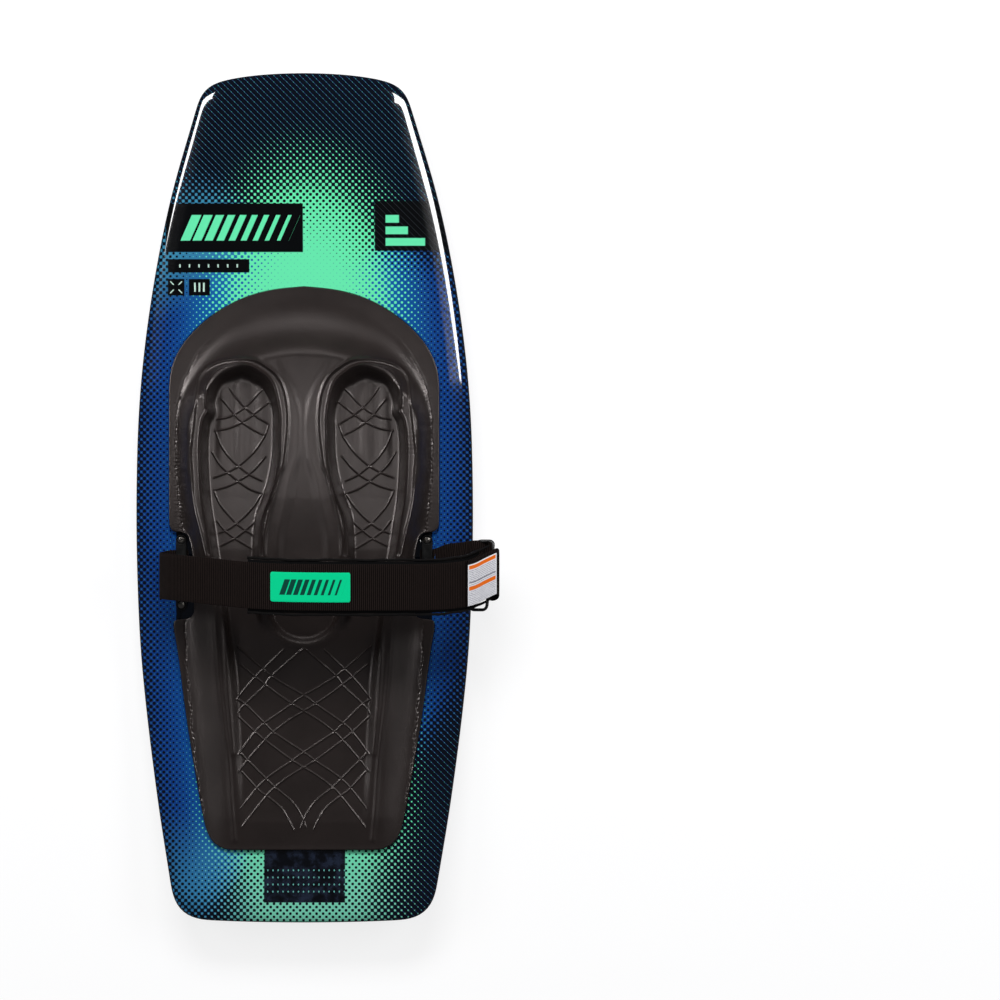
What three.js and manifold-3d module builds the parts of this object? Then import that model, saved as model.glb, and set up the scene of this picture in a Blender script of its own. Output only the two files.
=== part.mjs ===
// Kneeboard with a moulded knee pad and a padded hook-and-loop leg strap.
// Millimetres. +Y runs to the nose, +X to the rider's right, +Z up out of the deck.
// The origin is the middle of the flat centre panel of the hull.

import * as THREE from 'three';
import { ParametricGeometry } from 'three/addons/geometries/ParametricGeometry.js';
import { mergeVertices } from 'three/addons/utils/BufferGeometryUtils.js';
import Module from 'manifold-3d';

const wasm = await Module();
wasm.setup();

// ---- driving dimensions ----

const GAP = 0.3;

const BOARD_HALF_LENGTH = 665;
const BOARD_THICKNESS = 48.4;
const NOSE_ROCKER = 58;
const TAIL_ROCKER = 48;
const FLAT_HALF_LENGTH = 175;
const NOSE_THINNING = 16;
const TAIL_THINNING = 14;
const SKIN = 3;
const SPINE_END = 535;
const PARTING_SHARE = 0.42;
const HULL_BEND_SHARE = 0.72;

// Each step of the hull's channel: from its outer edge to its inner edge it deepens by rise.
const CHANNEL_STEPS = [
  { outer: 119.5, inner: 113, rise: 1.2 },
  { outer: 77.5, inner: 66.5, rise: 2.0 },
  { outer: 38, inner: 27, rise: 2.2 },
];
const CHANNEL_DEPTH = CHANNEL_STEPS.reduce((sum, step) => sum + step.rise, 0);
const CHANNEL_NOSE_END = 575;
const CHANNEL_TAIL_END = -640;
const CHANNEL_FADE = 60;
const CHANNEL_MARGIN = 0.6;

const RECESS_DEPTH = 2.5;
const RECESS_CLEARANCE = 0.8;

const ANCHOR_X = 193;
const ANCHOR_Y = -117;
const SCREW_SPACING = 102;

const PLATE_WIDTH = 17;
const PLATE_THICKNESS = 5;
const PLATE_SLOT_LENGTH = 80;
const PLATE_SLOT_DEPTH = 2.8;

const SCREW_RADIUS = 3;
const SCREW_HEAD_RADIUS = 5.3;
const SCREW_LENGTH = 17;

const INSERT_RADIUS = 5;
const INSERT_LENGTH = 12;

const BLOCK_WIDTH = 50;
const BLOCK_LENGTH = 134;
const BLOCK_HEIGHT = 18;
const BLOCK_CORNER = 8;

const WEBBING_WIDTH = 72;
const WEBBING_THICKNESS = 2;
const PADDING_WIDTH = 80;
const PADDING_THICKNESS = 5.5;
const BINDING_WIDTH = 4;
const BINDING_THICKNESS = 7;
const PATCH_WIDTH = 46;
const TAPE_WIDTH = 50;
const TAPE_THICKNESS = 1;
const TAG_WIDTH = 64;
const TAG_THICKNESS = 0.8;

const RING_LENGTH = 114;
const RING_WIRE_RADIUS = 2.5;
const RING_CORNER = 7;
const RING_TETHER_BAR = { x: 266, z: 76 };
const RING_STRAP_BAR = { x: 292, z: 88 };
const RING_Y = ANCHOR_Y - 2;
const RING_SKEW = THREE.MathUtils.degToRad(4);

// The two webbing loops on the ring: the return strap's is tight and the arch's is slack.
const RETURN_LOOP = { ...RING_TETHER_BAR, y: ANCHOR_Y + 10, radius: 6, skew: RING_SKEW };
const ARCH_LOOP = { ...RING_STRAP_BAR, y: ANCHOR_Y + 5, radius: 10, skew: 0 };

// ---- materials ----

function material(color, roughness, metalness = 0) {
  return new THREE.MeshStandardMaterial({ color, roughness, metalness });
}

const MATERIALS = {
  deck: () => material(0x5fd8a4, 0.3),
  hull: () => material(0x4fd09a, 0.3),
  foam: () => material(0xd9cfa6, 0.95),
  block: () => material(0xb9bcc0, 0.6),
  brass: () => material(0xb08d3c, 0.35, 1),
  pad: () => material(0x38312f, 0.85),
  nylon: () => material(0x141414, 0.5),
  steel: () => material(0xc9c6c0, 0.3, 1),
  webbing: () => material(0x1c1917, 0.9),
  neoprene: () => material(0x121212, 0.8),
  patch: () => material(0x00e49b, 0.45),
  tag: () => material(0xe6e6ea, 0.6),
  tape: () => material(0x18181a, 0.95),
};

// ---- solids from three.js geometry ----

function signedVolume(positions, indices) {
  const a = new THREE.Vector3();
  const b = new THREE.Vector3();
  const c = new THREE.Vector3();
  let volume = 0;
  for (let i = 0; i < indices.length; i += 3) {
    a.fromArray(positions, indices[i] * 3);
    b.fromArray(positions, indices[i + 1] * 3);
    c.fromArray(positions, indices[i + 2] * 3);
    volume += a.dot(b.cross(c)) / 6;
  }
  return volume;
}

// Merges shared corners, drops collapsed triangles and turns the faces outward.
function closedGeometry(geometry) {
  const bare = geometry.clone();
  bare.deleteAttribute('normal');
  bare.deleteAttribute('uv');
  const merged = mergeVertices(bare);
  const positions = merged.attributes.position.array;
  const source = merged.index.array;
  const kept = [];
  for (let i = 0; i < source.length; i += 3) {
    const [a, b, c] = [source[i], source[i + 1], source[i + 2]];
    if (a !== b && b !== c && c !== a) kept.push(a, b, c);
  }
  if (signedVolume(positions, kept) < 0) kept.reverse();
  merged.setIndex(kept);
  return merged;
}

function solid(geometry) {
  const closed = closedGeometry(geometry);
  return new wasm.Manifold(new wasm.Mesh({
    numProp: 3,
    vertProperties: new Float32Array(closed.attributes.position.array),
    triVerts: new Uint32Array(closed.index.array),
  }));
}

function fromSolid(manifold) {
  const mesh = manifold.getMesh();
  const geometry = new THREE.BufferGeometry();
  geometry.setAttribute('position', new THREE.BufferAttribute(mesh.vertProperties, 3));
  geometry.setIndex(new THREE.BufferAttribute(mesh.triVerts, 1));
  return geometry;
}

// A box whose top and bottom follow height functions over given grid lines.
function gridSolid(xs, ys, bottom, top) {
  const [columns, rows] = [xs.length - 1, ys.length - 1];
  const box = new THREE.BoxGeometry(1, 1, 1, columns, rows, 1);
  const position = box.attributes.position;
  for (let i = 0; i < position.count; i += 1) {
    const x = xs[Math.round((position.getX(i) + 0.5) * columns)];
    const y = ys[Math.round((position.getY(i) + 0.5) * rows)];
    const z = position.getZ(i) > 0 ? top(x, y) : bottom(x, y);
    position.setXYZ(i, x, y, z);
  }
  return solid(box);
}

function steps(from, to, count) {
  return Array.from({ length: count + 1 }, (_, i) => from + ((to - from) * i) / count);
}

function prism(shape, low, high, curveSegments = 6) {
  const depth = high - low;
  const geometry = new THREE.ExtrudeGeometry(shape, { depth, bevelEnabled: false, curveSegments });
  return solid(geometry.translate(0, 0, low));
}

function cylinder(radius, low, high, x, y, sides = 24) {
  const geometry = new THREE.CylinderGeometry(radius, radius, high - low, sides);
  return solid(geometry.rotateX(Math.PI / 2).translate(x, y, (low + high) / 2));
}

// Rises smoothly from 0 at from to 1 at to, which may lie on either side of it.
function smooth(from, to, value) {
  return THREE.MathUtils.smoothstep((value - from) / (to - from), 0, 1);
}

// Straight lines between [at, value] pairs that are sorted by falling "at".
function lerpTable(table, at) {
  if (at >= table[0][0]) return table[0][1];
  for (let i = 1; i < table.length; i += 1) {
    const [high, low] = [table[i - 1], table[i]];
    if (at >= low[0]) return low[1] + ((high[1] - low[1]) * (at - low[0])) / (high[0] - low[0]);
  }
  return table[table.length - 1][1];
}

// ---- the board's own lines ----

function rocker(y) {
  const beyond = Math.max(0, Math.abs(y) - FLAT_HALF_LENGTH);
  const share = beyond / (BOARD_HALF_LENGTH - FLAT_HALF_LENGTH);
  return (y > 0 ? NOSE_ROCKER : TAIL_ROCKER) * share * share;
}

function hullZ(y) {
  return rocker(y) - CHANNEL_DEPTH;
}

function deckZ(y) {
  const beyond = Math.max(0, Math.abs(y) - FLAT_HALF_LENGTH);
  const share = beyond / (BOARD_HALF_LENGTH - FLAT_HALF_LENGTH);
  const thinning = (y > 0 ? NOSE_THINNING : TAIL_THINNING) * share;
  return hullZ(y) + BOARD_THICKNESS - thinning;
}

function partingZ(y) {
  return THREE.MathUtils.lerp(hullZ(y), deckZ(y), PARTING_SHARE);
}

// Right half of the plan shape, from the middle of the nose to the middle of the tail.
function boardHalfOutline() {
  const path = new THREE.Path();
  path.moveTo(0, BOARD_HALF_LENGTH);
  path.bezierCurveTo(50, BOARD_HALF_LENGTH, 95, 661, 127, 653);
  path.bezierCurveTo(147, 648, 158, 640, 165, 622);
  path.splineThru([
    [211, 466], [242, 310], [260, 153], [265, -20], [261, -191], [251, -316], [231, -472], [208, -613],
  ].map(([x, y]) => new THREE.Vector2(x, y)));
  path.bezierCurveTo(203, -640, 190, -657, 158, -661);
  path.bezierCurveTo(105, -664, 50, -BOARD_HALF_LENGTH, 0, -BOARD_HALF_LENGTH);
  const divisions = [3, 4, 14, 4, 3];
  const points = [path.curves[0].getPoint(0)];
  path.curves.forEach((curve, i) => points.push(...curve.getPoints(divisions[i]).slice(1)));
  return points;
}

function boardStations() {
  const right = boardHalfOutline();
  const left = right.slice(1, -1).reverse().map((p) => new THREE.Vector2(-p.x, p.y));
  const loop = [...right, ...left];
  return loop.map((point, i) => {
    const before = loop[(i + loop.length - 1) % loop.length];
    const after = loop[(i + 1) % loop.length];
    const along = after.clone().sub(before).normalize();
    const inward = new THREE.Vector2(along.y, -along.x);
    const spineY = THREE.MathUtils.clamp(0.86 * point.y, -SPINE_END, SPINE_END);
    return { point, inward, spine: new THREE.Vector2(0, spineY) };
  });
}

const STATIONS = boardStations();

// Rings from the middle of the deck, over the rail and back to the middle of the hull.
// inset is measured in from the outline, share from the spine out to the outline.
const BOARD_RINGS = [
  { share: 0, drop: 0 },
  { inset: 20, drop: 0 },
  { inset: 13, drop: 1.6 },
  { inset: 6.5, drop: 5.5 },
  { inset: 1.8, drop: 12 },
  { inset: 0, parting: true },
  { inset: 3.5, rise: 13 },
  { share: HULL_BEND_SHARE, rise: 0 },
  { share: 0, rise: 0 },
];

// The board's outer surface moved inward by shell, which is 0 for the outside itself.
function boardSolid(shell) {
  const place = new THREE.Vector2();
  const geometry = new ParametricGeometry((u, v, target) => {
    const station = STATIONS[Math.round(u * STATIONS.length) % STATIONS.length];
    const ring = BOARD_RINGS[Math.round(v * (BOARD_RINGS.length - 1))];
    if (ring.share === undefined) {
      place.copy(station.point).addScaledVector(station.inward, ring.inset + shell);
    } else {
      place.lerpVectors(station.spine, station.point, ring.share);
    }
    const thickness = (deckZ(place.y) - hullZ(place.y)) / BOARD_THICKNESS;
    let z = partingZ(place.y);
    if (ring.drop !== undefined) z = deckZ(place.y) - ring.drop * thickness - shell;
    if (ring.rise !== undefined) z = hullZ(place.y) + ring.rise * thickness + shell;
    target.set(place.x, place.y, z);
  }, STATIONS.length, BOARD_RINGS.length - 1);
  return solid(geometry);
}

const SHEET_HALF_WIDTH = 300;
const SHEET_ROWS = 24;
const FAR = 400;

function aboveSheet(height) {
  const xs = [-SHEET_HALF_WIDTH, SHEET_HALF_WIDTH];
  return gridSolid(xs, steps(-700, 700, SHEET_ROWS), (x, y) => height(y), () => FAR);
}

function belowSheet(height) {
  const xs = [-SHEET_HALF_WIDTH, SHEET_HALF_WIDTH];
  return gridSolid(xs, steps(-700, 700, SHEET_ROWS), () => -FAR, (x, y) => height(y));
}

// The stepped concave channel that is pressed up into the hull, lifted by raise.
function channelCutter(raise) {
  const edges = CHANNEL_STEPS.flatMap((step) => [step.outer, step.inner]);
  const xs = [...edges.map((x) => -x), ...edges.reverse()];
  const depthAt = (x) => {
    const reached = CHANNEL_STEPS.filter((step) => Math.abs(x) <= step.inner);
    return reached.reduce((sum, step) => sum + step.rise, 0);
  };
  const fade = (y) => smooth(CHANNEL_NOSE_END, CHANNEL_NOSE_END - CHANNEL_FADE, y)
    * smooth(CHANNEL_TAIL_END, CHANNEL_TAIL_END + CHANNEL_FADE, y);
  const top = (x, y) => {
    const edge = Math.abs(x) === CHANNEL_STEPS[0].outer ? 0 : depthAt(x) + CHANNEL_MARGIN;
    return hullZ(y) + edge * fade(y) - CHANNEL_MARGIN + raise;
  };
  const ys = steps(CHANNEL_TAIL_END, CHANNEL_NOSE_END, 18);
  return gridSolid(xs, ys, () => -FAR, top);
}

// ---- knee pad lines ----

const PAD_FRONT = 332;
const PAD_REAR = -551;
const NOTCH_FRONT = -52;
const NOTCH_REAR = -190;
const NOTCH_X = 172;

function padShape(grow, notched) {
  const shape = new THREE.Shape();
  const side = (sign) => {
    const points = [
      [0, PAD_FRONT + grow], [55, 327 + grow], [104, 312 + grow], [152, 283 + grow],
      [189 + grow, 246 + grow], [207 + grow, 212], [212 + grow, 182], [212 + grow, NOTCH_FRONT],
    ];
    const notch = [
      [NOTCH_X + 6, NOTCH_FRONT - 2], [NOTCH_X, NOTCH_FRONT - 12],
      [NOTCH_X, NOTCH_REAR + 12], [NOTCH_X + 6, NOTCH_REAR + 2],
    ];
    const rear = [
      [205 + grow, NOTCH_REAR], [198 + grow, -240], [186 + grow, -338], [171 + grow, -427],
      [157 + grow, -505], [149 + grow, -530 - grow], [138 + grow, -543 - grow], [120, PAD_REAR - grow],
    ];
    const all = [...points, ...(notched ? notch : []), ...rear];
    return all.map(([x, y]) => new THREE.Vector2(sign * x, y));
  };
  shape.setFromPoints([...side(1), ...side(-1).reverse().slice(0, -1)]);
  return shape;
}

// Lines along the pad as [y, value] pairs, each for one side of the centre line.
const RIDGE_X = [[110, 176], [47, 177], [-30, 165], [-75, 153], [-180, 138], [-285, 126], [-400, 119], [-551, 112]];
const CREASE_X = [[138, 201], [47, 201], [-20, 195], [-50, 190], [-190, 186], [-240, 186], [-400, 172], [-551, 150]];
const RIDGE_HEIGHT = [[200, 42], [0, 42], [-75, 38], [-180, 32], [-285, 26], [-400, 20], [-500, 14], [-545, 8]];
const WELL_X = [[140, 97], [98, 99], [47, 103], [0, 107], [-30, 109], [-81, 108], [-180, 97], [-240, 85]];
const WELL_HALF_WIDTH = [[140, 56], [98, 61], [47, 59], [0, 49], [-30, 44], [-81, 37], [-180, 32], [-240, 30]];
const WELL_FLOOR = [[160, 10], [0, 12], [-81, 16], [-180, 14], [-240, 13]];
const FLANGE_HEIGHT = 5;
const DOME_Y = 110;
const DOME_RIDGE = { x: 176, y: 112 };
const DOME_CREASE = { x: 201, y: 208 };
const WELL_END = { x: 100, y: 140, rx: 57, ry: 66 };
const HOLLOW = { y: -167, radius: 63, floor: 6 };
const TRAY_FLOOR = 13;
const TRAY_FRONT = -165;
const CENTRE_DIP = 8;

// How far a point lies from the pad's ridge (0) to its crease with the flange (1).
function sideShare(x, y) {
  if (y <= DOME_Y) {
    const ridge = lerpTable(RIDGE_X, y);
    return (x - ridge) / (lerpTable(CREASE_X, y) - ridge);
  }
  const reach = (oval) => Math.hypot(x / oval.x, (y - DOME_Y) / oval.y);
  const [ridge, crease] = [reach(DOME_RIDGE), reach(DOME_CREASE)];
  return (ridge - 1) / Math.max(1e-6, ridge - crease);
}

// How far inside the rim of the knee well a point lies.
function wellDepthIn(x, y) {
  if (y > WELL_END.y) {
    const reach = Math.hypot((x - WELL_END.x) / WELL_END.rx, (y - WELL_END.y) / WELL_END.ry);
    return WELL_END.rx * (1 - reach);
  }
  return lerpTable(WELL_HALF_WIDTH, y) - Math.abs(x - lerpTable(WELL_X, y));
}

// Height of the pad's top above the deck.
function padHeight(signedX, y) {
  const x = Math.abs(signedX);
  const share = smooth(0, 1, sideShare(x, y));
  let height = THREE.MathUtils.lerp(lerpTable(RIDGE_HEIGHT, y), FLANGE_HEIGHT, share);
  height -= CENTRE_DIP * smooth(45, 10, x) * smooth(150, 0, y);
  const well = smooth(-3, 15, wellDepthIn(x, y));
  height = THREE.MathUtils.lerp(height, lerpTable(WELL_FLOOR, y), well);
  const tray = smooth(0, 14, lerpTable(RIDGE_X, y) - 10 - x) * smooth(TRAY_FRONT, TRAY_FRONT - 45, y);
  height = THREE.MathUtils.lerp(height, Math.min(height, TRAY_FLOOR), tray);
  const hollow = smooth(0, 16, HOLLOW.radius - Math.hypot(x, y - HOLLOW.y));
  return THREE.MathUtils.lerp(height, Math.min(height, HOLLOW.floor), hollow);
}

function kneePad() {
  const halfLines = [12, 28, 42, 58, 78, 100, 122, 140, 152, 163, 177, 190, 202, 214];
  const xs = [...halfLines.map((x) => -x).reverse(), 0, ...halfLines];
  const ys = steps(PAD_REAR - 2, PAD_FRONT + 2, 34);
  const slab = gridSolid(xs, ys, () => -FAR, (x, y) => deckZ(y) + padHeight(x, y));
  const base = aboveSheet((y) => deckZ(y) - RECESS_DEPTH + GAP);
  return slab.intersect(base).intersect(prism(padShape(0, true), -FAR, FAR));
}

// ---- anchors ----

const RECESS_FLOOR = deckZ(ANCHOR_Y) - RECESS_DEPTH;
const PLATE_BOTTOM = RECESS_FLOOR + GAP;
const PLATE_TOP = PLATE_BOTTOM + PLATE_THICKNESS;
const BLOCK_TOP = RECESS_FLOOR - SKIN - 2 * GAP;
const BLOCK_BOTTOM = BLOCK_TOP - BLOCK_HEIGHT;
const INSERT_TOP = BLOCK_TOP - GAP;
const HEAD_SEAT = PLATE_TOP - 1.7;

const SIDES = [{ name: 'left', sign: -1 }, { name: 'right', sign: 1 }];
const ENDS = [{ name: 'front', sign: 1 }, { name: 'rear', sign: -1 }];
const ANCHOR_POINTS = SIDES.flatMap((side) => ENDS.map((end) => ({
  name: `${side.name}_${end.name}`,
  x: side.sign * ANCHOR_X,
  y: ANCHOR_Y + (end.sign * SCREW_SPACING) / 2,
})));

function roundedRectangle(width, length, radius) {
  const shape = new THREE.Shape();
  const [x, y] = [width / 2, length / 2];
  shape.absarc(x - radius, y - radius, radius, 0, Math.PI / 2);
  shape.absarc(-x + radius, y - radius, radius, Math.PI / 2, Math.PI);
  shape.absarc(-x + radius, -y + radius, radius, Math.PI, 1.5 * Math.PI);
  shape.absarc(x - radius, -y + radius, radius, 1.5 * Math.PI, 2 * Math.PI);
  return shape;
}

function anchorBlock(sign, grow = 0, lid = 0) {
  const shape = roundedRectangle(BLOCK_WIDTH + 2 * grow, BLOCK_LENGTH + 2 * grow, BLOCK_CORNER);
  const block = prism(shape, BLOCK_BOTTOM - grow, BLOCK_TOP + lid, 3);
  return block.translate([sign * ANCHOR_X, ANCHOR_Y, 0]);
}

function drilledBlock(sign) {
  return ANCHOR_POINTS.filter((point) => Math.sign(point.x) === sign).reduce(
    (block, { x, y }) => block.subtract(
      cylinder(INSERT_RADIUS + GAP, INSERT_TOP - INSERT_LENGTH - GAP, FAR, x, y, 16),
    ),
    anchorBlock(sign),
  );
}

function threadedInsert({ x, y }) {
  const outer = cylinder(INSERT_RADIUS, INSERT_TOP - INSERT_LENGTH, INSERT_TOP, x, y, 16);
  return outer.subtract(cylinder(SCREW_RADIUS + GAP, -FAR, FAR, x, y, 16));
}

function anchorPlate(sign) {
  const shape = roundedRectangle(PLATE_WIDTH, SCREW_SPACING + PLATE_WIDTH, PLATE_WIDTH / 2 - 0.01);
  let plate = prism(shape, PLATE_BOTTOM, PLATE_TOP, 4).translate([sign * ANCHOR_X, ANCHOR_Y, 0]);
  const slot = new THREE.BoxGeometry(2 * PLATE_WIDTH, PLATE_SLOT_LENGTH, 2 * PLATE_SLOT_DEPTH);
  plate = plate.subtract(solid(slot.translate(sign * ANCHOR_X, ANCHOR_Y, PLATE_BOTTOM)));
  ANCHOR_POINTS.filter((point) => Math.sign(point.x) === sign).forEach(({ x, y }) => {
    plate = plate.subtract(cylinder(SCREW_RADIUS + GAP, -FAR, FAR, x, y, 16));
    plate = plate.subtract(cylinder(SCREW_HEAD_RADIUS + 2 * GAP, HEAD_SEAT - GAP, FAR, x, y, 16));
  });
  return plate;
}

function anchorScrew({ x, y }) {
  const profile = [
    [0, -SCREW_LENGTH], [SCREW_RADIUS - 1, -SCREW_LENGTH], [SCREW_RADIUS, 1 - SCREW_LENGTH],
    [SCREW_RADIUS, 0], [SCREW_HEAD_RADIUS, 0], [SCREW_HEAD_RADIUS, 1.2], [4.2, 2.5], [2.2, 3.1], [0, 3.2],
  ].map(([radius, height]) => new THREE.Vector2(radius, height));
  const body = new THREE.LatheGeometry(profile, 16).rotateX(Math.PI / 2);
  return solid(body.translate(x, y, HEAD_SEAT));
}

// ---- strap ----

// A point and its across and outward directions at each place along a strap's path.
// skew turns the across direction towards +X.
function strapFrame(path, t, skew) {
  const across = new THREE.Vector3(Math.sin(skew), Math.cos(skew), 0);
  const outward = path.getTangentAt(t).cross(across).normalize();
  return { point: path.getPointAt(t), across, outward };
}

// A flat band along a path: width across it, low to high through its thickness,
// shifted sideways by offset. It runs from the share "from" to the share "to" of the path.
function band({ path, from = 0, to = 1, width, low, high, offset = 0, count = 24, skewAt = () => 0 }) {
  const corners = [[-1, low], [1, low], [1, high], [-1, high], [-1, low]];
  const rows = count + 2;
  return solid(new ParametricGeometry((u, v, target) => {
    const row = Math.round(v * rows);
    const share = THREE.MathUtils.clamp((row - 1) / count, 0, 1);
    const t = from + (to - from) * share;
    const { point, across, outward } = strapFrame(path, t, skewAt(t));
    const [side, height] = corners[Math.round(u * 4)];
    const atCap = row === 0 || row === rows;
    const reach = atCap ? offset : offset + (side * width) / 2;
    const level = atCap ? (low + high) / 2 : height;
    target.copy(point).addScaledVector(across, reach).addScaledVector(outward, level);
  }, 4, rows));
}

function strapCurve(points) {
  return new THREE.CatmullRomCurve3(
    points.map(([x, z, lean]) => new THREE.Vector3(x, ANCHOR_Y + lean, z)),
    false,
    'centripetal',
  );
}

// [x, z, distance towards the nose from the anchor line]
const ARCH = strapCurve([
  [-219, 60, -3], [-224, 78, -4], [-217, 104, -5], [-192, 134, -7], [-140, 162, -12], [-60, 182, -19],
  [30, 189, -21], [120, 181, -21], [190, 165, -21], [232, 146, -19], [262, 124, -14], [279, 103, -4],
  [283, 90, 3],
]);

const HALF_WEBBING = WEBBING_THICKNESS / 2;
const ROOT_Z = PLATE_BOTTOM + GAP + HALF_WEBBING;

// Places along the arch, counted in equal steps of its length from the left end.
const ARCH_STEPS = 48;
const PADDING_STEPS = [16, 46];
const TAIL_STEPS = [44, 47];
const PATCH_STEPS = [19, 29];

// Layers are stacked outward from the webbing's own middle surface.
const PATCH_LOW = HALF_WEBBING + GAP;
const LOOP_LOW = HALF_WEBBING + GAP;
const HOOK_LOW = LOOP_LOW + TAPE_THICKNESS + GAP;
const TAIL_LOW = HOOK_LOW + TAPE_THICKNESS + GAP;
const TAG_LOW = TAIL_LOW + WEBBING_THICKNESS + GAP;
const PADDING_LOW = -HALF_WEBBING - GAP - PADDING_THICKNESS;
const PADDING_MIDDLE = PADDING_LOW + PADDING_THICKNESS / 2;

// One layer of the strap, between two of the arch's steps. All layers bend at the same places.
function archLayer([first, last], width, low, thickness, offset = 0) {
  return band({
    path: ARCH, from: first / ARCH_STEPS, to: last / ARCH_STEPS, count: last - first,
    width, low, high: low + thickness, offset,
  });
}

function binding(sign) {
  const offset = sign * (PADDING_WIDTH / 2 + GAP + BINDING_WIDTH / 2);
  const low = PADDING_MIDDLE - BINDING_THICKNESS / 2;
  return archLayer(PADDING_STEPS, BINDING_WIDTH, low, BINDING_THICKNESS, offset);
}

// A webbing loop round a bar of the ring, from one angle to another.
function foldAround(loop, startDegrees, endDegrees) {
  const points = steps(startDegrees, endDegrees, 8).map((degrees) => {
    const angle = THREE.MathUtils.degToRad(degrees);
    const x = loop.x + loop.radius * Math.cos(angle);
    return new THREE.Vector3(x, loop.y, loop.z + loop.radius * Math.sin(angle));
  });
  return band({
    path: new THREE.CatmullRomCurve3(points, false, 'centripetal'),
    width: WEBBING_WIDTH, low: -HALF_WEBBING, high: HALF_WEBBING, count: 8, skewAt: () => loop.skew,
  });
}

function strapRoot(sign) {
  const lean = sign > 0 ? 5.5 : -2;
  const path = strapCurve([
    [sign * 182, ROOT_Z, 0], [sign * 196, ROOT_Z, 0], [sign * 205, ROOT_Z + 1, lean / 4],
    [sign * 213, ROOT_Z + 4.5, (lean * 2) / 3], [sign * 217.5, ROOT_Z + 8.5, lean],
  ]);
  return band({ path, width: WEBBING_WIDTH, low: -HALF_WEBBING, high: HALF_WEBBING, count: 10 });
}

const TETHER = strapCurve([[227, 56.5, 7.5], [240, 61, 9], [251, 66.2, 9.7], [259, 70, 10]]);

function tether() {
  const skewAt = (t) => RING_SKEW * t;
  return band({
    path: TETHER, width: WEBBING_WIDTH, low: -WEBBING_THICKNESS, high: WEBBING_THICKNESS, count: 8, skewAt,
  });
}

// A closed rounded-rectangle wire through both bars of the ring.
function ring() {
  const middle = new THREE.Vector3(
    (RING_TETHER_BAR.x + RING_STRAP_BAR.x) / 2,
    RING_Y,
    (RING_TETHER_BAR.z + RING_STRAP_BAR.z) / 2,
  );
  const rise = new THREE.Vector3(
    RING_STRAP_BAR.x - RING_TETHER_BAR.x, 0, RING_STRAP_BAR.z - RING_TETHER_BAR.z,
  );
  const width = rise.length();
  const shape = roundedRectangle(width, RING_LENGTH - 2 * RING_WIRE_RADIUS, RING_CORNER);
  const outline = shape.getPoints(4).slice(0, -1);
  const across = new THREE.Vector3(Math.sin(RING_SKEW), Math.cos(RING_SKEW), 0);
  const outwardInPlane = rise.normalize();
  const normal = outwardInPlane.clone().cross(across).normalize();
  const inPlane = (point) => middle.clone()
    .addScaledVector(outwardInPlane, point.x).addScaledVector(across, point.y);
  const sides = 8;
  return solid(new ParametricGeometry((u, v, target) => {
    const index = Math.round(v * outline.length) % outline.length;
    const before = outline[(index + outline.length - 1) % outline.length];
    const after = outline[(index + 1) % outline.length];
    const along = after.clone().sub(before).normalize();
    const sideways = outwardInPlane.clone().multiplyScalar(along.y).addScaledVector(across, -along.x);
    const angle = (2 * Math.PI * (Math.round(u * sides) % sides)) / sides;
    target.copy(inPlane(outline[index]))
      .addScaledVector(sideways, RING_WIRE_RADIUS * Math.cos(angle))
      .addScaledVector(normal, RING_WIRE_RADIUS * Math.sin(angle));
  }, sides, outline.length));
}

// ---- assembly ----

const kneeboard = new THREE.Group();

function add(name, manifold, kind) {
  const mesh = new THREE.Mesh(fromSolid(manifold), MATERIALS[kind]());
  mesh.name = name;
  kneeboard.add(mesh);
}

function recess(grow, depth) {
  return prism(padShape(grow, false), -FAR, FAR).intersect(aboveSheet((y) => deckZ(y) - depth));
}

const outside = boardSolid(0);
const cavity = boardSolid(SKIN);

function deckShell() {
  const hollow = cavity.subtract(recess(RECESS_CLEARANCE + SKIN, RECESS_DEPTH + SKIN));
  const shell = outside.intersect(aboveSheet((y) => partingZ(y) + GAP / 2)).subtract(hollow);
  return ANCHOR_POINTS.reduce(
    (deck, { x, y }) => deck.subtract(cylinder(SCREW_RADIUS + GAP, 0, FAR, x, y, 16)),
    shell.subtract(recess(RECESS_CLEARANCE, RECESS_DEPTH)),
  );
}

function hullShell() {
  const hollow = cavity.subtract(channelCutter(SKIN));
  const shell = outside.intersect(belowSheet((y) => partingZ(y) - GAP / 2)).subtract(hollow);
  return shell.subtract(channelCutter(0));
}

function foamCore() {
  const core = boardSolid(SKIN + GAP)
    .subtract(recess(RECESS_CLEARANCE + SKIN + GAP, RECESS_DEPTH + SKIN + GAP))
    .subtract(channelCutter(SKIN + GAP));
  return SIDES.reduce((rest, { sign }) => rest.subtract(anchorBlock(sign, GAP, FAR)), core);
}

add('deck_shell', deckShell(), 'deck');
add('hull_shell', hullShell(), 'hull');
add('foam_core', foamCore(), 'foam');
add('knee_pad', kneePad(), 'pad');

SIDES.forEach(({ name, sign }) => {
  add(`anchor_block_${name}`, drilledBlock(sign), 'block');
  add(`anchor_plate_${name}`, anchorPlate(sign), 'nylon');
  add(`strap_root_${name}`, strapRoot(sign), 'webbing');
});
ANCHOR_POINTS.forEach((point) => {
  add(`threaded_insert_${point.name}`, threadedInsert(point), 'brass');
  add(`anchor_screw_${point.name}`, anchorScrew(point), 'steel');
});

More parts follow.
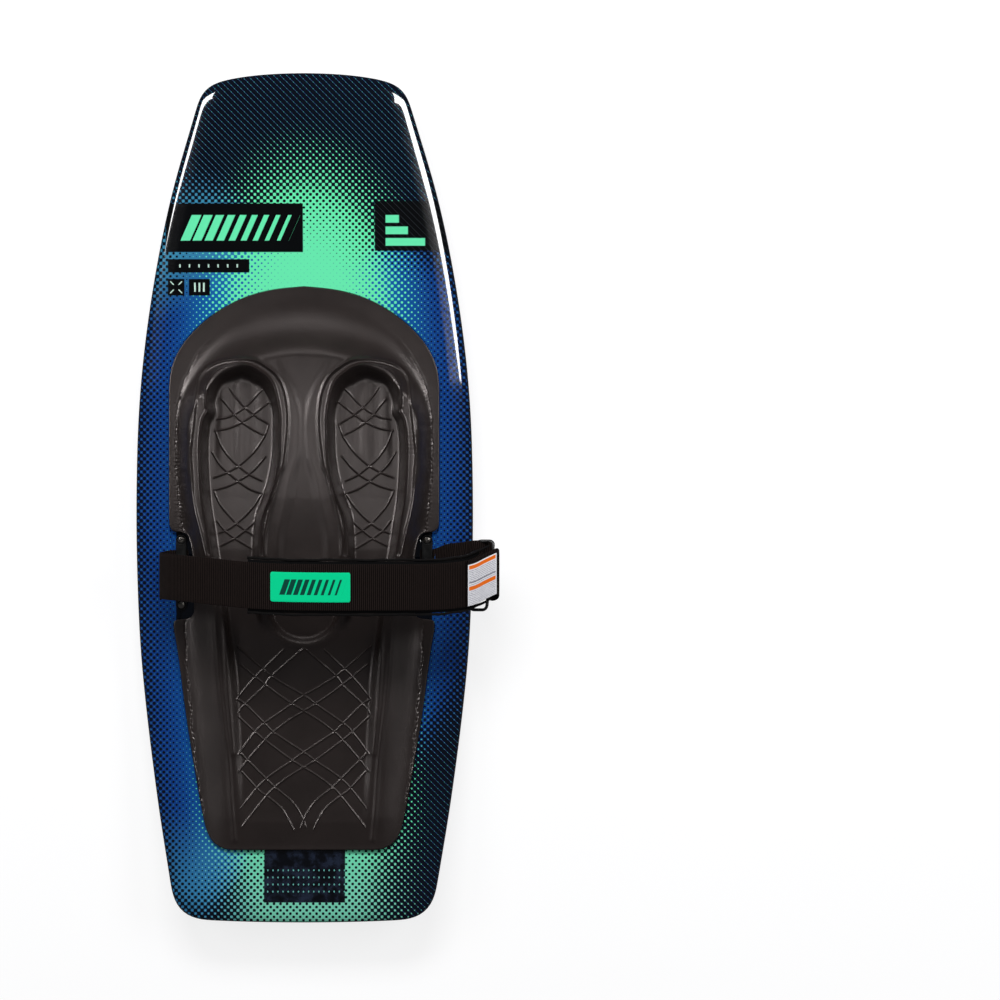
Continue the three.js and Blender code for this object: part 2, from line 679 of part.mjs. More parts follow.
add('strap_webbing', archLayer([0, ARCH_STEPS], WEBBING_WIDTH, -HALF_WEBBING, WEBBING_THICKNESS), 'webbing');
add('strap_fold', foldAround(ARCH_LOOP, 188, 372), 'webbing');
add('strap_padding', archLayer(PADDING_STEPS, PADDING_WIDTH, PADDING_LOW, PADDING_THICKNESS), 'neoprene');
add('padding_binding_front', binding(1), 'neoprene');
add('padding_binding_rear', binding(-1), 'neoprene');
add('strap_patch', archLayer(PATCH_STEPS, PATCH_WIDTH, PATCH_LOW, TAPE_THICKNESS), 'patch');
add('loop_tape', archLayer(TAIL_STEPS, TAPE_WIDTH, LOOP_LOW, TAPE_THICKNESS), 'tape');
add('hook_tape', archLayer(TAIL_STEPS, TAPE_WIDTH, HOOK_LOW, TAPE_THICKNESS), 'tape');
add('strap_tail', archLayer(TAIL_STEPS, WEBBING_WIDTH, TAIL_LOW, WEBBING_THICKNESS), 'webbing');
add('care_tag', archLayer(TAIL_STEPS, TAG_WIDTH, TAG_LOW, TAG_THICKNESS), 'tag');
add('return_strap', tether(), 'webbing');
add('return_strap_loop', foldAround(RETURN_LOOP, -160, 160), 'webbing');
add('strap_ring', ring(), 'nylon');

export default kneeboard;
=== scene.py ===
"""Kneeboard with a moulded foam knee pad and a padded leg strap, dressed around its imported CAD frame.

+Y runs to the nose, +X to the rider's right and +Z up out of the deck. Lengths in the
functions below are millimetres, and every mesh is written in metres.
"""

import math

import bmesh
import bpy
import numpy as np
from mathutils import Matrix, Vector
from mathutils.geometry import delaunay_2d_cdt
from mathutils.kdtree import KDTree


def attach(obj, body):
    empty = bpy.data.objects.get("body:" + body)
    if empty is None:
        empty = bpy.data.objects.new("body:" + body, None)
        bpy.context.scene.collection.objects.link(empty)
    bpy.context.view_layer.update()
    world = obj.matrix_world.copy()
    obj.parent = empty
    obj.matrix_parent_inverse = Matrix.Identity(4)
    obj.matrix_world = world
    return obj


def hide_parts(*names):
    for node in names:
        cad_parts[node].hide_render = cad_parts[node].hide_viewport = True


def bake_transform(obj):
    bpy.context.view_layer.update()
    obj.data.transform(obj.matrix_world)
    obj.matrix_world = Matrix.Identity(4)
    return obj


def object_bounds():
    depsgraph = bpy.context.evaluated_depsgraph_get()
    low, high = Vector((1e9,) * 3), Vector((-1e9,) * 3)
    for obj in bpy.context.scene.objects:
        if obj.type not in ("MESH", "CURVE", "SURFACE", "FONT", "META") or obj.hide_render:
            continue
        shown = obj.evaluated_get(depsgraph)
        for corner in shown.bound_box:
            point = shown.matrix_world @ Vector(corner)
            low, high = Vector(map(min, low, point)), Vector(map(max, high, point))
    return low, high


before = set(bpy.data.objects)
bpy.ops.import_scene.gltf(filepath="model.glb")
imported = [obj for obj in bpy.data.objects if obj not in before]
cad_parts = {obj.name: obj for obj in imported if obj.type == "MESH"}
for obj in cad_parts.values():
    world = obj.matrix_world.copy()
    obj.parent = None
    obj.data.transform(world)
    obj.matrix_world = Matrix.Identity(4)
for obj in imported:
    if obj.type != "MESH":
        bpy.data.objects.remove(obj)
cad_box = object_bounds()

MM = 0.001

# ---- driving dimensions, as in the CAD model ----

HALF_LENGTH = 665
THICKNESS = 48.4
NOSE_ROCKER = 58
TAIL_ROCKER = 48
FLAT_HALF_LENGTH = 175
NOSE_THINNING = 16
TAIL_THINNING = 14
CHANNEL_DEPTH = 5.4
PARTING_SHARE = 0.42
SKIN = 2.6

RECESS_DEPTH = 2.5
RECESS_CLEARANCE = 0.8
PAD_BOTTOM = 2.1

ANCHOR_X = 193
ANCHOR_Y = -117
SCREW_SPACING = 102
PLATE_WIDTH = 17
PLATE_BOTTOM = 40.8
PLATE_TOP = 45.8
HEAD_SEAT = 44.1
WASHER_RADIUS = 6.6
RIM_RADIUS = 7.4
PLATE_HOLE_RADIUS = 3.3
DECK_HOLE_RADIUS = 3.4

WEBBING_WIDTH = 72
WEBBING_THICKNESS = 2
RING_Y = -121
RING_LENGTH = 108
RING_SKEW = math.radians(6)
TETHER_BAR = (266, 76)
STRAP_BAR = (292, 88)
ARCH_LOOP = {"x": 293, "y": -113, "z": 89, "radius": 13}
ARCH_SAG = 12
# The arch's loop runs from the first to the last of these angles, and the tail peels from the middle one.
LOOP_START = 192
LOOP_SPLIT = 280
LOOP_END = 395
LOOP_SAG_SPAN = 190

# ---- camera ----

CAMERA_DISTANCE = 8.0
VIEW_WIDTH = 1.565
VIEW_CENTRE = (0.3075, -0.0031, 0.07)
SENSOR_WIDTH = 36.0
CAMERA_REACH = 100


def make_camera():
    data = bpy.data.cameras.new("camera")
    data.sensor_width = SENSOR_WIDTH
    data.lens = SENSOR_WIDTH * CAMERA_DISTANCE / VIEW_WIDTH
    data.clip_end = CAMERA_REACH
    camera = bpy.data.objects.new("camera", data)
    x, y, z = VIEW_CENTRE
    camera.location = (x, y, z + CAMERA_DISTANCE)
    bpy.context.scene.collection.objects.link(camera)
    bpy.context.scene.camera = camera


make_camera()

# ---- small helpers ----


def smooth(start, end, value):
    """Rises smoothly from 0 at start to 1 at end, which may lie on either side of it."""
    share = np.clip((np.asarray(value, float) - start) / (end - start), 0, 1)
    return share * share * (3 - 2 * share)


def table(pairs, at):
    """Straight lines between (place, value) pairs that are sorted by falling place."""
    places, values = np.array(pairs, float)[::-1].T
    return np.interp(at, places, values)


def bump_line(distance, width):
    return np.exp(-((distance / width) ** 2))


def bezier(points, count):
    t = np.linspace(0, 1, count + 1)[:, None]
    a, b, c, d = np.array(points, float)
    return a * (1 - t) ** 3 + 3 * b * t * (1 - t) ** 2 + 3 * c * t * t * (1 - t) + d * t**3


def catmull_rom(points, count, power=0.0):
    """A smooth curve through the points: power 0 is uniform and 0.5 centripetal."""
    p = np.array(points, float)
    p = np.vstack([2 * p[0] - p[1], p, 2 * p[-1] - p[-2]])
    pieces = []
    for i in range(1, len(p) - 2):
        gaps = [np.linalg.norm(p[i + k] - p[i + k - 1]) ** power for k in range(3)]
        d0, d1, d2 = (max(gap, 1e-6) for gap in gaps)
        start = (p[i] - p[i - 1]) / d0 - (p[i + 1] - p[i - 1]) / (d0 + d1) + (p[i + 1] - p[i]) / d1
        end = (p[i + 1] - p[i]) / d1 - (p[i + 2] - p[i]) / (d1 + d2) + (p[i + 2] - p[i + 1]) / d2
        t = np.linspace(0, 1, count + 1)[:-1, None]
        pieces.append(
            p[i] * (2 * t**3 - 3 * t**2 + 1)
            + p[i + 1] * (3 * t**2 - 2 * t**3)
            + start * d1 * (t**3 - 2 * t**2 + t)
            + end * d1 * (t**3 - t**2)
        )
    return np.vstack([*pieces, p[-2:-1]])


def resample(points, spacing):
    """The same line with its points evenly spaced, about spacing apart."""
    points = np.asarray(points, float)
    along = np.concatenate([[0], np.cumsum(np.linalg.norm(np.diff(points, axis=0), axis=1))])
    count = max(2, round(along[-1] / spacing))
    at = np.linspace(0, along[-1], count + 1)
    return np.column_stack([np.interp(at, along, points[:, k]) for k in range(points.shape[1])])


def smooth_line(points, passes):
    points = points.copy()
    for _ in range(passes):
        points[1:-1] = (points[:-2] + 2 * points[1:-1] + points[2:]) / 4
    return points


def unit(vectors):
    return vectors / np.linalg.norm(vectors, axis=1)[:, None]


def closed(loop):
    """The loop with its first point once more at its end."""
    return np.vstack([loop, loop[:1]])


def mirrored_loop(right):
    """A closed loop from the right half of an outline that starts and ends on the centre line."""
    right[0, 0] = right[-1, 0] = 0
    left = right[1:-1][::-1] * [-1, 1]
    return np.vstack([right, left])


def rounded_loop(points, spacing):
    """A closed loop from the right half of an outline, once its corners are cut three times."""
    right = np.array(points, float)
    for _ in range(3):
        cut = [right[0]]
        for a, b in zip(right, right[1:]):
            cut.extend([a * 0.75 + b * 0.25, a * 0.25 + b * 0.75])
        right = np.array([*cut, right[-1]])
    return mirrored_loop(resample(right, spacing))


def loop_tangents(loop):
    return unit(np.roll(loop, -1, axis=0) - np.roll(loop, 1, axis=0))


def inward_normals(loop):
    along = loop_tangents(loop)
    return np.column_stack([along[:, 1], -along[:, 0]])


def inside(points, loop):
    x, y = points[:, 0], points[:, 1]
    result = np.zeros(len(points), bool)
    for (x0, y0), (x1, y1) in zip(loop, np.roll(loop, -1, axis=0)):
        if y0 != y1:
            crosses = (y0 > y) != (y1 > y)
            result ^= crosses & (x < x0 + (x1 - x0) * (y - y0) / (y1 - y0))
    return result


def distances(points, targets):
    """The distance from each point to the nearest target."""
    tree = KDTree(len(targets))
    for i, (x, y) in enumerate(targets):
        tree.insert((x, y, 0), i)
    tree.balance()
    return np.array([tree.find((x, y, 0))[2] for x, y in points])


def line_distances(points, line, spacing=1.0):
    """The distance from each point to a line."""
    return distances(points, resample(line, spacing))


ROW_SHARE = 0.866  # rows of a triangular grid lie this share of its spacing apart


def grid_points(loop, spacing, clear):
    """Grid points inside a loop that keep clear of its line."""
    low, high = loop.min(0), loop.max(0)
    xs = np.arange(low[0], high[0], spacing) + spacing / 2
    ys = np.arange(low[1], high[1], spacing * ROW_SHARE)
    grid = np.array([(x + spacing / 2 * (row % 2), y) for row, y in enumerate(ys) for x in xs])
    grid = grid[inside(grid, loop)]
    return grid[line_distances(grid, closed(loop), clear) > clear]


def triangulate(outline, holes, points):
    """Triangles of a flat region: (corners, faces). The outline's points come first, in order."""
    corners, edges = [], []
    for loop in [outline, *holes]:
        first = len(corners)
        corners.extend(loop)
        edges.extend((first + i, first + (i + 1) % len(loop)) for i in range(len(loop)))
    corners.extend(points)
    flat = [Vector((float(x), float(y))) for x, y in corners]
    made, _, faces, *_ = delaunay_2d_cdt(flat, edges, [], 0, 1e-4)
    place = np.array([(v.x, v.y) for v in made])
    faces = np.array(faces)
    middle = place[faces].mean(axis=1)
    keep = inside(middle, np.array(outline))
    for hole in holes:
        keep &= ~inside(middle, np.array(hole))
    return place, faces[keep]


# The mesh attribute that holds a strap's run, or how far the board's rail has dropped.
MARKS = "strap"


class Build:
    """Collects points and faces in millimetres, then makes one mesh object."""

    def __init__(self):
        self.points = []
        self.faces = []
        self.marks = []

    def add(self, points, faces, marks=None):
        first = len(self.points)
        self.points.extend(map(tuple, points))
        self.faces.extend(tuple(int(i) + first for i in face) for face in faces)
        self.marks.extend(map(tuple, marks) if marks is not None else [(0, 0, 0)] * len(points))
        return first

    def strip(self, rings, closed=True, marks=None):
        """Quads between rings that all have the same number of points."""
        count = len(rings[0])
        first = self.add(np.vstack(rings), [], None if marks is None else np.vstack(marks))
        reach = count if closed else count - 1
        for row in range(len(rings) - 1):
            start = first + row * count
            for i in range(reach):
                j = (i + 1) % count
                self.faces.append((start + i, start + j, start + count + j, start + count + i))
        return first

    def object(self, name, material, merge=0.02, sharp=50):
        mesh = bpy.data.meshes.new(name)
        mesh.from_pydata([tuple(c * MM for c in p) for p in self.points], [], self.faces)
        attribute = mesh.attributes.new(MARKS, "FLOAT_VECTOR", "POINT")
        attribute.data.foreach_set("vector", np.array(self.marks, np.float32).ravel())
        mesh.validate()
        work = bmesh.new()
        work.from_mesh(mesh)
        bmesh.ops.remove_doubles(work, verts=work.verts, dist=merge * MM)
        bmesh.ops.recalc_face_normals(work, faces=work.faces)
        for face in work.faces:
            face.smooth = True
        work.to_mesh(mesh)
        work.free()
        mesh.set_sharp_from_angle(angle=math.radians(sharp))
        mesh.materials.append(material)
        made = bpy.data.objects.new(name, mesh)
        bpy.context.scene.collection.objects.link(made)
        return made


# ---- materials ----


class Signal:
    """A socket in a node tree that can be used in arithmetic."""

    def __init__(self, graph, socket):
        self.graph = graph
        self.socket = socket

    def _with(self, operation, *others):
        return self.graph.math(operation, self, *others)

    def __add__(self, other):
        return self._with("ADD", other)

    def __sub__(self, other):
        return self._with("SUBTRACT", other)

    def __rsub__(self, other):
        return self.graph.math("SUBTRACT", other, self)

    def __mul__(self, other):
        return self._with("MULTIPLY", other)

    def __truediv__(self, other):
        return self._with("DIVIDE", other)

    def __abs__(self):
        return self._with("ABSOLUTE")

    __radd__ = __add__
    __rmul__ = __mul__

    def step(self, start, end):
        """Rises smoothly from 0 at start to 1 at end."""
        flip = end < start
        node = self.graph.node("MapRange", interpolation_type="SMOOTHSTEP")
        self.graph.link(self, node.inputs["Value"])
        node.inputs["From Min"].default_value = min(start, end)
        node.inputs["From Max"].default_value = max(start, end)
        node.inputs["To Min"].default_value = 1.0 if flip else 0.0
        node.inputs["To Max"].default_value = 0.0 if flip else 1.0
        return Signal(self.graph, node.outputs["Result"])


def srgb(red, green, blue):
    """A colour given as 0 to 255, as the linear values that shaders use."""
    values = [c / 255 for c in (red, green, blue)]
    linear = [c / 12.92 if c <= 0.04045 else ((c + 0.055) / 1.055) ** 2.4 for c in values]
    return (*linear, 1.0)


class Graph:
    """A material whose node tree is written as arithmetic on positions in millimetres."""

    def __init__(self, name, roughness, metallic=0.0, specular=0.5, coat=0.0, coat_roughness=0.05):
        self.material = bpy.data.materials.new(name)
        self.material.use_nodes = True
        self.tree = self.material.node_tree
        self.shader = self.tree.nodes["Principled BSDF"]
        names = ("Roughness", "Metallic", "Specular IOR Level", "Coat Weight", "Coat Roughness")
        for name, value in zip(names, (roughness, metallic, specular, coat, coat_roughness)):
            self.shader.inputs[name].default_value = value

    def node(self, kind, **settings):
        made = self.tree.nodes.new("ShaderNode" + kind)
        for key, value in settings.items():
            setattr(made, key, value)
        return made

    def link(self, value, socket):
        if isinstance(value, Signal):
            self.tree.links.new(value.socket, socket)
        else:
            socket.default_value = value

    def math(self, operation, *values):
        made = self.node("Math", operation=operation)
        for value, socket in zip(values, made.inputs):
            self.link(value, socket)
        return Signal(self, made.outputs[0])

    def parts(self, vector):
        split = self.node("SeparateXYZ")
        self.tree.links.new(vector, split.inputs[0])
        return [Signal(self, output) for output in split.outputs]

    def marks(self):
        return self.node("Attribute", attribute_name=MARKS).outputs["Vector"]

    def place(self):
        """x, y and z of the surface in the part's own frame, in millimetres."""
        scaled = self.node("VectorMath", operation="SCALE")
        self.tree.links.new(self.node("TexCoord").outputs["Object"], scaled.inputs[0])
        scaled.inputs["Scale"].default_value = 1 / MM
        self.vector = scaled.outputs[0]
        return self.parts(self.vector)

    def along_strap(self):
        """Distance along the strap, across it and through it, in millimetres."""
        self.vector = self.marks()
        return self.parts(self.vector)

    def past_edge(self, start, end):
        """Rises from 0 to 1 where the rail has dropped from start to end below the flat."""
        return self.parts(self.marks())[0].step(start, end)

    def wave(self, value, pitch):
        """A cosine that repeats every pitch millimetres."""
        return self.math("COSINE", value * (2 * math.pi / pitch))

    def noise(self, scale, detail=2.0, roughness=0.5):
        """Noise from 0 to 1 with features about 1 / scale millimetres across."""
        made = self.node("TexNoise")
        self.tree.links.new(self.vector, made.inputs["Vector"])
        made.inputs["Scale"].default_value = scale
        made.inputs["Detail"].default_value = detail
        made.inputs["Roughness"].default_value = roughness
        return Signal(self, made.outputs["Fac"])

    def cells(self, scale):
        made = self.node("TexVoronoi")
        self.tree.links.new(self.vector, made.inputs["Vector"])
        made.inputs["Scale"].default_value = scale
        return Signal(self, made.outputs["Distance"])

    def mix(self, factor, first, second):
        made = self.node("Mix", data_type="RGBA")
        self.link(factor, made.inputs["Factor"])
        self.link(first, made.inputs["A"])
        self.link(second, made.inputs["B"])
        return Signal(self, made.outputs["Result"])

    def paint(self, colour, paint, *shapes):
        """The colour with shapes of one paint laid over it in turn."""
        for shape in shapes:
            colour = self.mix(shape, colour, paint)
        return colour

    def finish(self, colour, bump=None, height=0.1, roughness=None):
        """Connects the colour, a bump height in millimetres and a varying roughness."""
        self.link(colour, self.shader.inputs["Base Color"])
        if roughness is not None:
            self.link(roughness, self.shader.inputs["Roughness"])
        if bump is not None:
            made = self.node("Bump")
            made.inputs["Distance"].default_value = height * MM
            self.link(bump, made.inputs["Height"])
            self.tree.links.new(made.outputs["Normal"], self.shader.inputs["Normal"])
        return self.material


def between(value, low, high, edge=0.5):
    return value.step(low - edge, low + edge) * value.step(high + edge, high - edge)


def rectangle(x, y, left, right, bottom, top):
    return between(x, left, right) * between(y, bottom, top)


# The print, in millimetres on the board: its screen, and its colours as they are without light.
DOT_PITCH = 10.24
NAVY = srgb(4, 10, 23)
PANEL = srgb(4, 5, 7)
GREEN = srgb(110, 248, 186)
TAIL_GREEN = srgb(132, 226, 196)
PALE = srgb(205, 240, 225)


def spots(graph, x, y):
    """The screen of the print: 1 in the middle of each dot and 0 between four dots."""
    return (graph.wave(x + y, DOT_PITCH) + graph.wave(x - y, DOT_PITCH)) * 0.25 + 0.5


def pinstripes(graph, x, y):
    """Thin slanted lines that cover a tenth of the surface."""
    edge = math.cos(math.pi * 0.1)
    return graph.wave(x + y, DOT_PITCH).step(edge - 0.1, edge + 0.05)


def striped_panel(graph, x, y, colour, place):
    """The colour with faint pinstripes over one panel."""
    stripes = rectangle(x, y, *place) * pinstripes(graph, x, y) * 0.35
    return graph.mix(stripes, colour, srgb(60, 66, 72))


def round_dots(graph, value):
    """A row of dots, one every 15 millimetres."""
    return graph.wave(value, 15).step(0.82, 0.95)


def ticks(graph, value, pitch):
    """A row of short bars."""
    return graph.wave(value, pitch).step(0.2, 0.5)


def screened(spot, cover):
    """1 inside dots that cover that share of the surface."""
    return (spot + cover - 1.0).step(-0.06, 0.06)


BAR_COUNT = 9


def slanted_bars(graph, x, y, left, right, bottom, top, slant=0.45):
    """Plain slanted bars in a row, broad at one end and narrow at the other."""
    share = (x - y * slant - (left - bottom * slant)) / (right - left)
    phase = graph.math("FRACT", share * BAR_COUNT)
    width = 0.86 - share * 0.6
    inside_row = between(y, bottom, top) * between(share, 0.0, 1.0, 0.004)
    return inside_row * (width - phase).step(-0.02, 0.02)


def print_colours(graph, x, y, green_reach, blue_cover, blue, lighter_ground, green=GREEN):
    """Navy ground, blue dots, thin blue lines and green dots, in that order."""
    spot = spots(graph, x, y)
    ground = graph.mix(lighter_ground, NAVY, srgb(20, 26, 42))
    colour = graph.mix(screened(spot, blue_cover), ground, blue)
    lines = pinstripes(graph, x, y) * blue_cover.step(0.75, 0.1) * 0.55
    colour = graph.mix(lines, colour, srgb(52, 90, 140))
    return graph.mix(screened(spot, green_reach), colour, green)


def power_sum(graph, first, second, power):
    total = graph.math("POWER", first, power) + graph.math("POWER", second, power)
    return graph.math("POWER", total, 1 / power)


def side_place(x, y):
    """How far out a point lies, as the millimetres it would be at the board's widest place."""
    shifted = y + 50
    return abs(x) / (1.0 - shifted * shifted * 6.8e-7)


def scuffed(graph, colour, start, worn, clean):
    """Finishes a glossy print with patches that are rougher by worn than the rest."""
    scuffs = graph.noise(0.02, 6.0, 0.7).step(start, 0.8)
    return graph.finish(colour, graph.noise(0.05, 2.0), 0.05, scuffs * worn + clean)


def deck_material():
    graph = Graph("deck_print", roughness=0.16, specular=0.1, coat=1.0, coat_roughness=0.02)
    x, y, _ = graph.place()
    cap = graph.math("MAXIMUM", y - 300, 0.0) / 173
    reach = power_sum(graph, abs(x - 6) / 115, cap, 2.0)
    at_tail = y.step(-470, -640)
    green = reach.step(1.75, 0.42) * (1.0 - at_tail * 0.36)
    top = (y + x * 0.24).step(500, 360)
    bottom = (y - x * 0.8).step(-600, -430)
    side = side_place(x, y)
    blue_cover = side.step(330, 175) * top * bottom
    blue = graph.mix(side.step(240, 120), srgb(15, 61, 138), srgb(20, 108, 184))
    blue = graph.mix((y - x * 0.5).step(380, 500), blue, srgb(60, 140, 178))
    blue = graph.mix(at_tail, blue, srgb(52, 128, 176))
    # Painted shade: between each anchor plate and the pad, where plate and pad cast shadow.
    painted_notch_shade = between(abs(x), 150, 201) * between(y, -192, -44)
    dots = graph.mix(at_tail, GREEN, TAIL_GREEN)
    dots = graph.mix(at_tail * x.step(-60, -150), dots, srgb(96, 186, 206))
    lighter_ground = graph.noise(0.004, 1.0) * 0.2
    colour = print_colours(graph, x, y, green, blue_cover, blue, lighter_ground, dots)
    # Lays the painted shade beside the anchor plates: near-black navy over the print.
    colour = graph.mix(painted_notch_shade, colour, srgb(3, 7, 16))

    panels = [
        (-217, -1.7, 386, 462),
        (-214, -86, 354, 375),
        (-214, -188, 318, 344),
        (-181, -148, 318, 344),
        (111, 240, 388, 466),
    ]
    colour = graph.paint(colour, PANEL, *(rectangle(x, y, *panel) for panel in panels))
    colour = striped_panel(graph, x, y, colour, panels[-1])
    stack = [(128, 149, 432, 444), (128, 163, 414, 426), (128, 190, 396, 408)]
    bars = slanted_bars(graph, x, y, -194, -24, 404, 444)
    colour = graph.paint(colour, GREEN, bars, *(rectangle(x, y, *bar) for bar in stack))
    across, up = abs(x + 201), abs(y - 331)
    cross = (across - up).step(-1.6, -0.8) * (across - up).step(1.6, 0.8)
    colour = graph.paint(
        colour,
        PALE,
        round_dots(graph, x + 150) * between(y, 362, 367) * between(x, -206, -94),
        cross * between(across, 3.5, 9.5) * between(up, 3.5, 9.5),
        ticks(graph, x + 164.5, 7) * rectangle(x, y, -176, -153, 324, 338),
    )

    marble = graph.noise(0.05, 5.0, 0.65).step(0.42, 0.68)
    tail_colour = graph.mix(marble, srgb(7, 9, 16), srgb(36, 44, 62))
    tail_dots = (graph.wave(x, 8) + graph.wave(y, 11)).step(1.55, 1.8) * between(y, -620, -580)
    tail_colour = graph.mix(tail_dots, tail_colour, srgb(110, 190, 180))
    colour = graph.mix(rectangle(x, y, -61.8, 65, -633, -540), colour, tail_colour)
    colour = graph.mix(graph.past_edge(9, 13), colour, NAVY)
    return scuffed(graph, colour, 0.55, 0.12, 0.12)


def hull_material():
    graph = Graph("hull_print", roughness=0.18, specular=0.1, coat=1.0, coat_roughness=0.03)
    x, y, _ = graph.place()
    nose = graph.math("MAXIMUM", y - 430, 0.0) / 150
    tail = graph.math("MAXIMUM", y * -1.0 - 430, 0.0) / 125
    reach = power_sum(graph, abs(x) / 122, nose + tail, 2.5)
    green = reach.step(1.45, 0.52)
    along = y.step(360, 150) * y.step(-400, -180)
    side = side_place(x, y)
    blue_cover = side.step(300, 190) * along
    blue = graph.mix(side.step(250, 170), srgb(30, 74, 140), srgb(4, 38, 132))
    # Painted reflection: the navy ground is lightened towards the tail.
    colour = print_colours(graph, x, y, green, blue_cover, blue, y.step(-250, -520))

    nose_panel = (-300, -65, 326, 451)
    colour = graph.mix(rectangle(x, y, *nose_panel), colour, PANEL)
    colour = striped_panel(graph, x, y, colour, nose_panel)
    stack = [(-148, -92, 409, 430), (-172, -92, 380, 401), (-190, -92, 351, 372)]
    colour = graph.paint(colour, GREEN, *(rectangle(x, y, *bar) for bar in stack))
    colour = graph.mix(rectangle(x, y, -65.7, 64.6, -200, 174.6), colour, PANEL)
    colour = graph.mix(slanted_bars(graph, y, x, -160, 135, -34, 34), colour, GREEN)
    across, up = abs(x), abs(y + 12.7)
    frame_side = between(across, 77.5, 79.2) * between(up, 175, 202.5)
    frame_end = between(up, 200.5, 202.5) * between(across, 52, 79.2)
    colour = graph.mix(graph.math("MAXIMUM", frame_side, frame_end), colour, PANEL)
    rules = [450.5 - 31 * line for line in range(5)]
    colour = graph.paint(
        colour, PALE, *(rectangle(x, y, -23, 22.4, rule - 1.2, rule + 1.2) for rule in rules)
    )
    colour = graph.mix(rectangle(x, y, -66, 64.6, -292, -271), colour, PANEL)
    dots = round_dots(graph, x) * between(y, -284, -279) * between(across, -1, 57)
    colour = graph.mix(dots, colour, PALE)
    boxes = [(-66, -33.7), (-24.3, 22.7), (32, 64.6)]
    colour = graph.paint(colour, PANEL, *(rectangle(x, y, *box, -338, -306) for box in boxes))
    colour = graph.mix(ticks(graph, x, 9) * rectangle(x, y, -18, 18, -332, -312), colour, PALE)
    radius = power_sum(graph, abs(x + 2), abs(y + 425), 2.0)
    colour = graph.mix(radius.step(33, 32), colour, PANEL)
    circles = [between(radius, middle - 0.5, middle + 0.5, 0.3) for middle in (30.5, 20.5)]
    colour = graph.paint(colour, PALE, *circles)
    colour = graph.mix(graph.past_edge(5, 9), colour, NAVY)
    return scuffed(graph, colour, 0.5, 0.15, 0.14)


def pad_material():
    graph = Graph("moulded_foam", roughness=0.4, specular=0.55)
    graph.place()
    cells = graph.cells(1.1)
    grain = graph.noise(0.9, 4.0, 0.7)
    patches = graph.noise(0.012, 4.0, 0.6)
    colour = graph.mix(patches.step(0.3, 0.7), srgb(29, 23, 21), srgb(37, 30, 28))
    colour = graph.mix(cells.step(0.0, 0.5) * 0.3, colour, srgb(46, 40, 39))
    return graph.finish(colour, grain * 0.7 + cells * 0.5, 0.2, patches * 0.1 + grain * 0.1 + 0.22)


RIB_PITCH = 3.1


def webbing_material():
    graph = Graph("webbing", roughness=0.85, specular=0.1)
    along, across, _ = graph.along_strap()
    rib = graph.wave(along, RIB_PITCH) * 0.5 + 0.5
    yarn = graph.math("COSINE", across * (2 * math.pi / 1.3) + along * 1.2) * 0.5 + 0.5
    fibre = graph.noise(1.8, 3.0, 0.7)
    worn = graph.noise(0.03, 4.0, 0.6)
    tone = rib * 0.5 + yarn * 0.25 + fibre * 0.35
    colour = graph.mix(tone.step(0.25, 1.0), srgb(5, 4, 4), srgb(48, 40, 38))
    colour = graph.mix(worn.step(0.5, 0.8) * 0.2, colour, srgb(42, 35, 32))
    return graph.finish(colour, yarn * 0.5 + fibre * 0.6, 0.25, fibre * 0.2 + 0.7)


def neoprene_material(name, colour_low, colour_high):
    graph = Graph(name, roughness=0.7, specular=0.12)
    graph.along_strap()
    knit = graph.noise(2.4, 2.0, 0.6)
    broad = graph.noise(0.04, 3.0, 0.5)
    colour = graph.mix(knit * 0.6 + broad * 0.4, colour_low, colour_high)
    return graph.finish(colour, knit, 0.2, broad * 0.25 + 0.5)


def patch_material():
    graph = Graph("strap_patch", roughness=0.4, specular=0.45)
    along, across, _ = graph.along_strap()
    weave = graph.noise(2.2, 2.0, 0.6)
    bars = slanted_bars(graph, along, across, -48, 48, -12, 12, slant=0.35)
    colour = graph.mix(weave, srgb(0, 222, 150), srgb(10, 238, 166))
    colour = graph.mix(bars, colour, srgb(14, 74, 62))
    return graph.finish(colour, bars * -0.8 + weave * 0.2, 0.2)


def tag_material(length):
    """White with two orange bars and plain ruled lines."""
    graph = Graph("care_tag", roughness=0.55, specular=0.4)
    along, across, _ = graph.along_strap()
    weave = graph.noise(3.0, 2.0, 0.6)
    colour = graph.mix(weave, srgb(240, 240, 246), srgb(252, 252, 255))
    printed = between(along, 2 - length / 2, length / 2 - 2, 0.3)
    ruled = graph.wave(across, 2.7).step(-0.1, 0.5) * between(across, -30, 23)
    broken = graph.noise(0.9, 1.0).step(0.35, 0.5)
    colour = graph.mix(ruled * broken * printed * 0.75, colour, srgb(120, 118, 140))
    middle = between(across, 3.2, 4.4, 0.2) * printed
    colour = graph.mix(middle, colour, srgb(96, 92, 104))
    for low in (-8.3, 24.3):
        colour = graph.mix(between(across, low, low + 5.8, 0.3) * printed, colour, srgb(255, 118, 12))
    return graph.finish(colour, weave, 0.1)


def tape_material(name, scale):
    graph = Graph(name, roughness=0.95, specular=0.2)
    graph.along_strap()
    pile = graph.cells(scale)
    colour = graph.mix(pile.step(0.0, 0.8), srgb(34, 33, 34), srgb(12, 12, 13))
    return graph.finish(colour, pile, 0.5)


def moulded_material(name, low, high, roughness, metallic=0.0):
    """A hard plain material with fine grain and rubbed patches."""
    graph = Graph(name, roughness=roughness, metallic=metallic)
    graph.place()
    grain = graph.noise(1.6, 3.0, 0.6)
    rubbed = graph.noise(0.06, 4.0, 0.6)
    colour = graph.mix(rubbed.step(0.3, 0.75), low, high)
    return graph.finish(colour, grain, 0.06, rubbed * 0.25 + (roughness - 0.1))


def foam_material():
    graph = Graph("core_foam", roughness=0.95, specular=0.2)
    graph.place()
    cells = graph.cells(0.35)
    colour = graph.mix(cells.step(0.0, 0.7), srgb(205, 188, 140), srgb(232, 220, 180))
    return graph.finish(colour, cells, 0.6)


# ---- the board's own lines ----


def beyond_flat(y):
    return np.maximum(0, np.abs(y) - FLAT_HALF_LENGTH) / (HALF_LENGTH - FLAT_HALF_LENGTH)


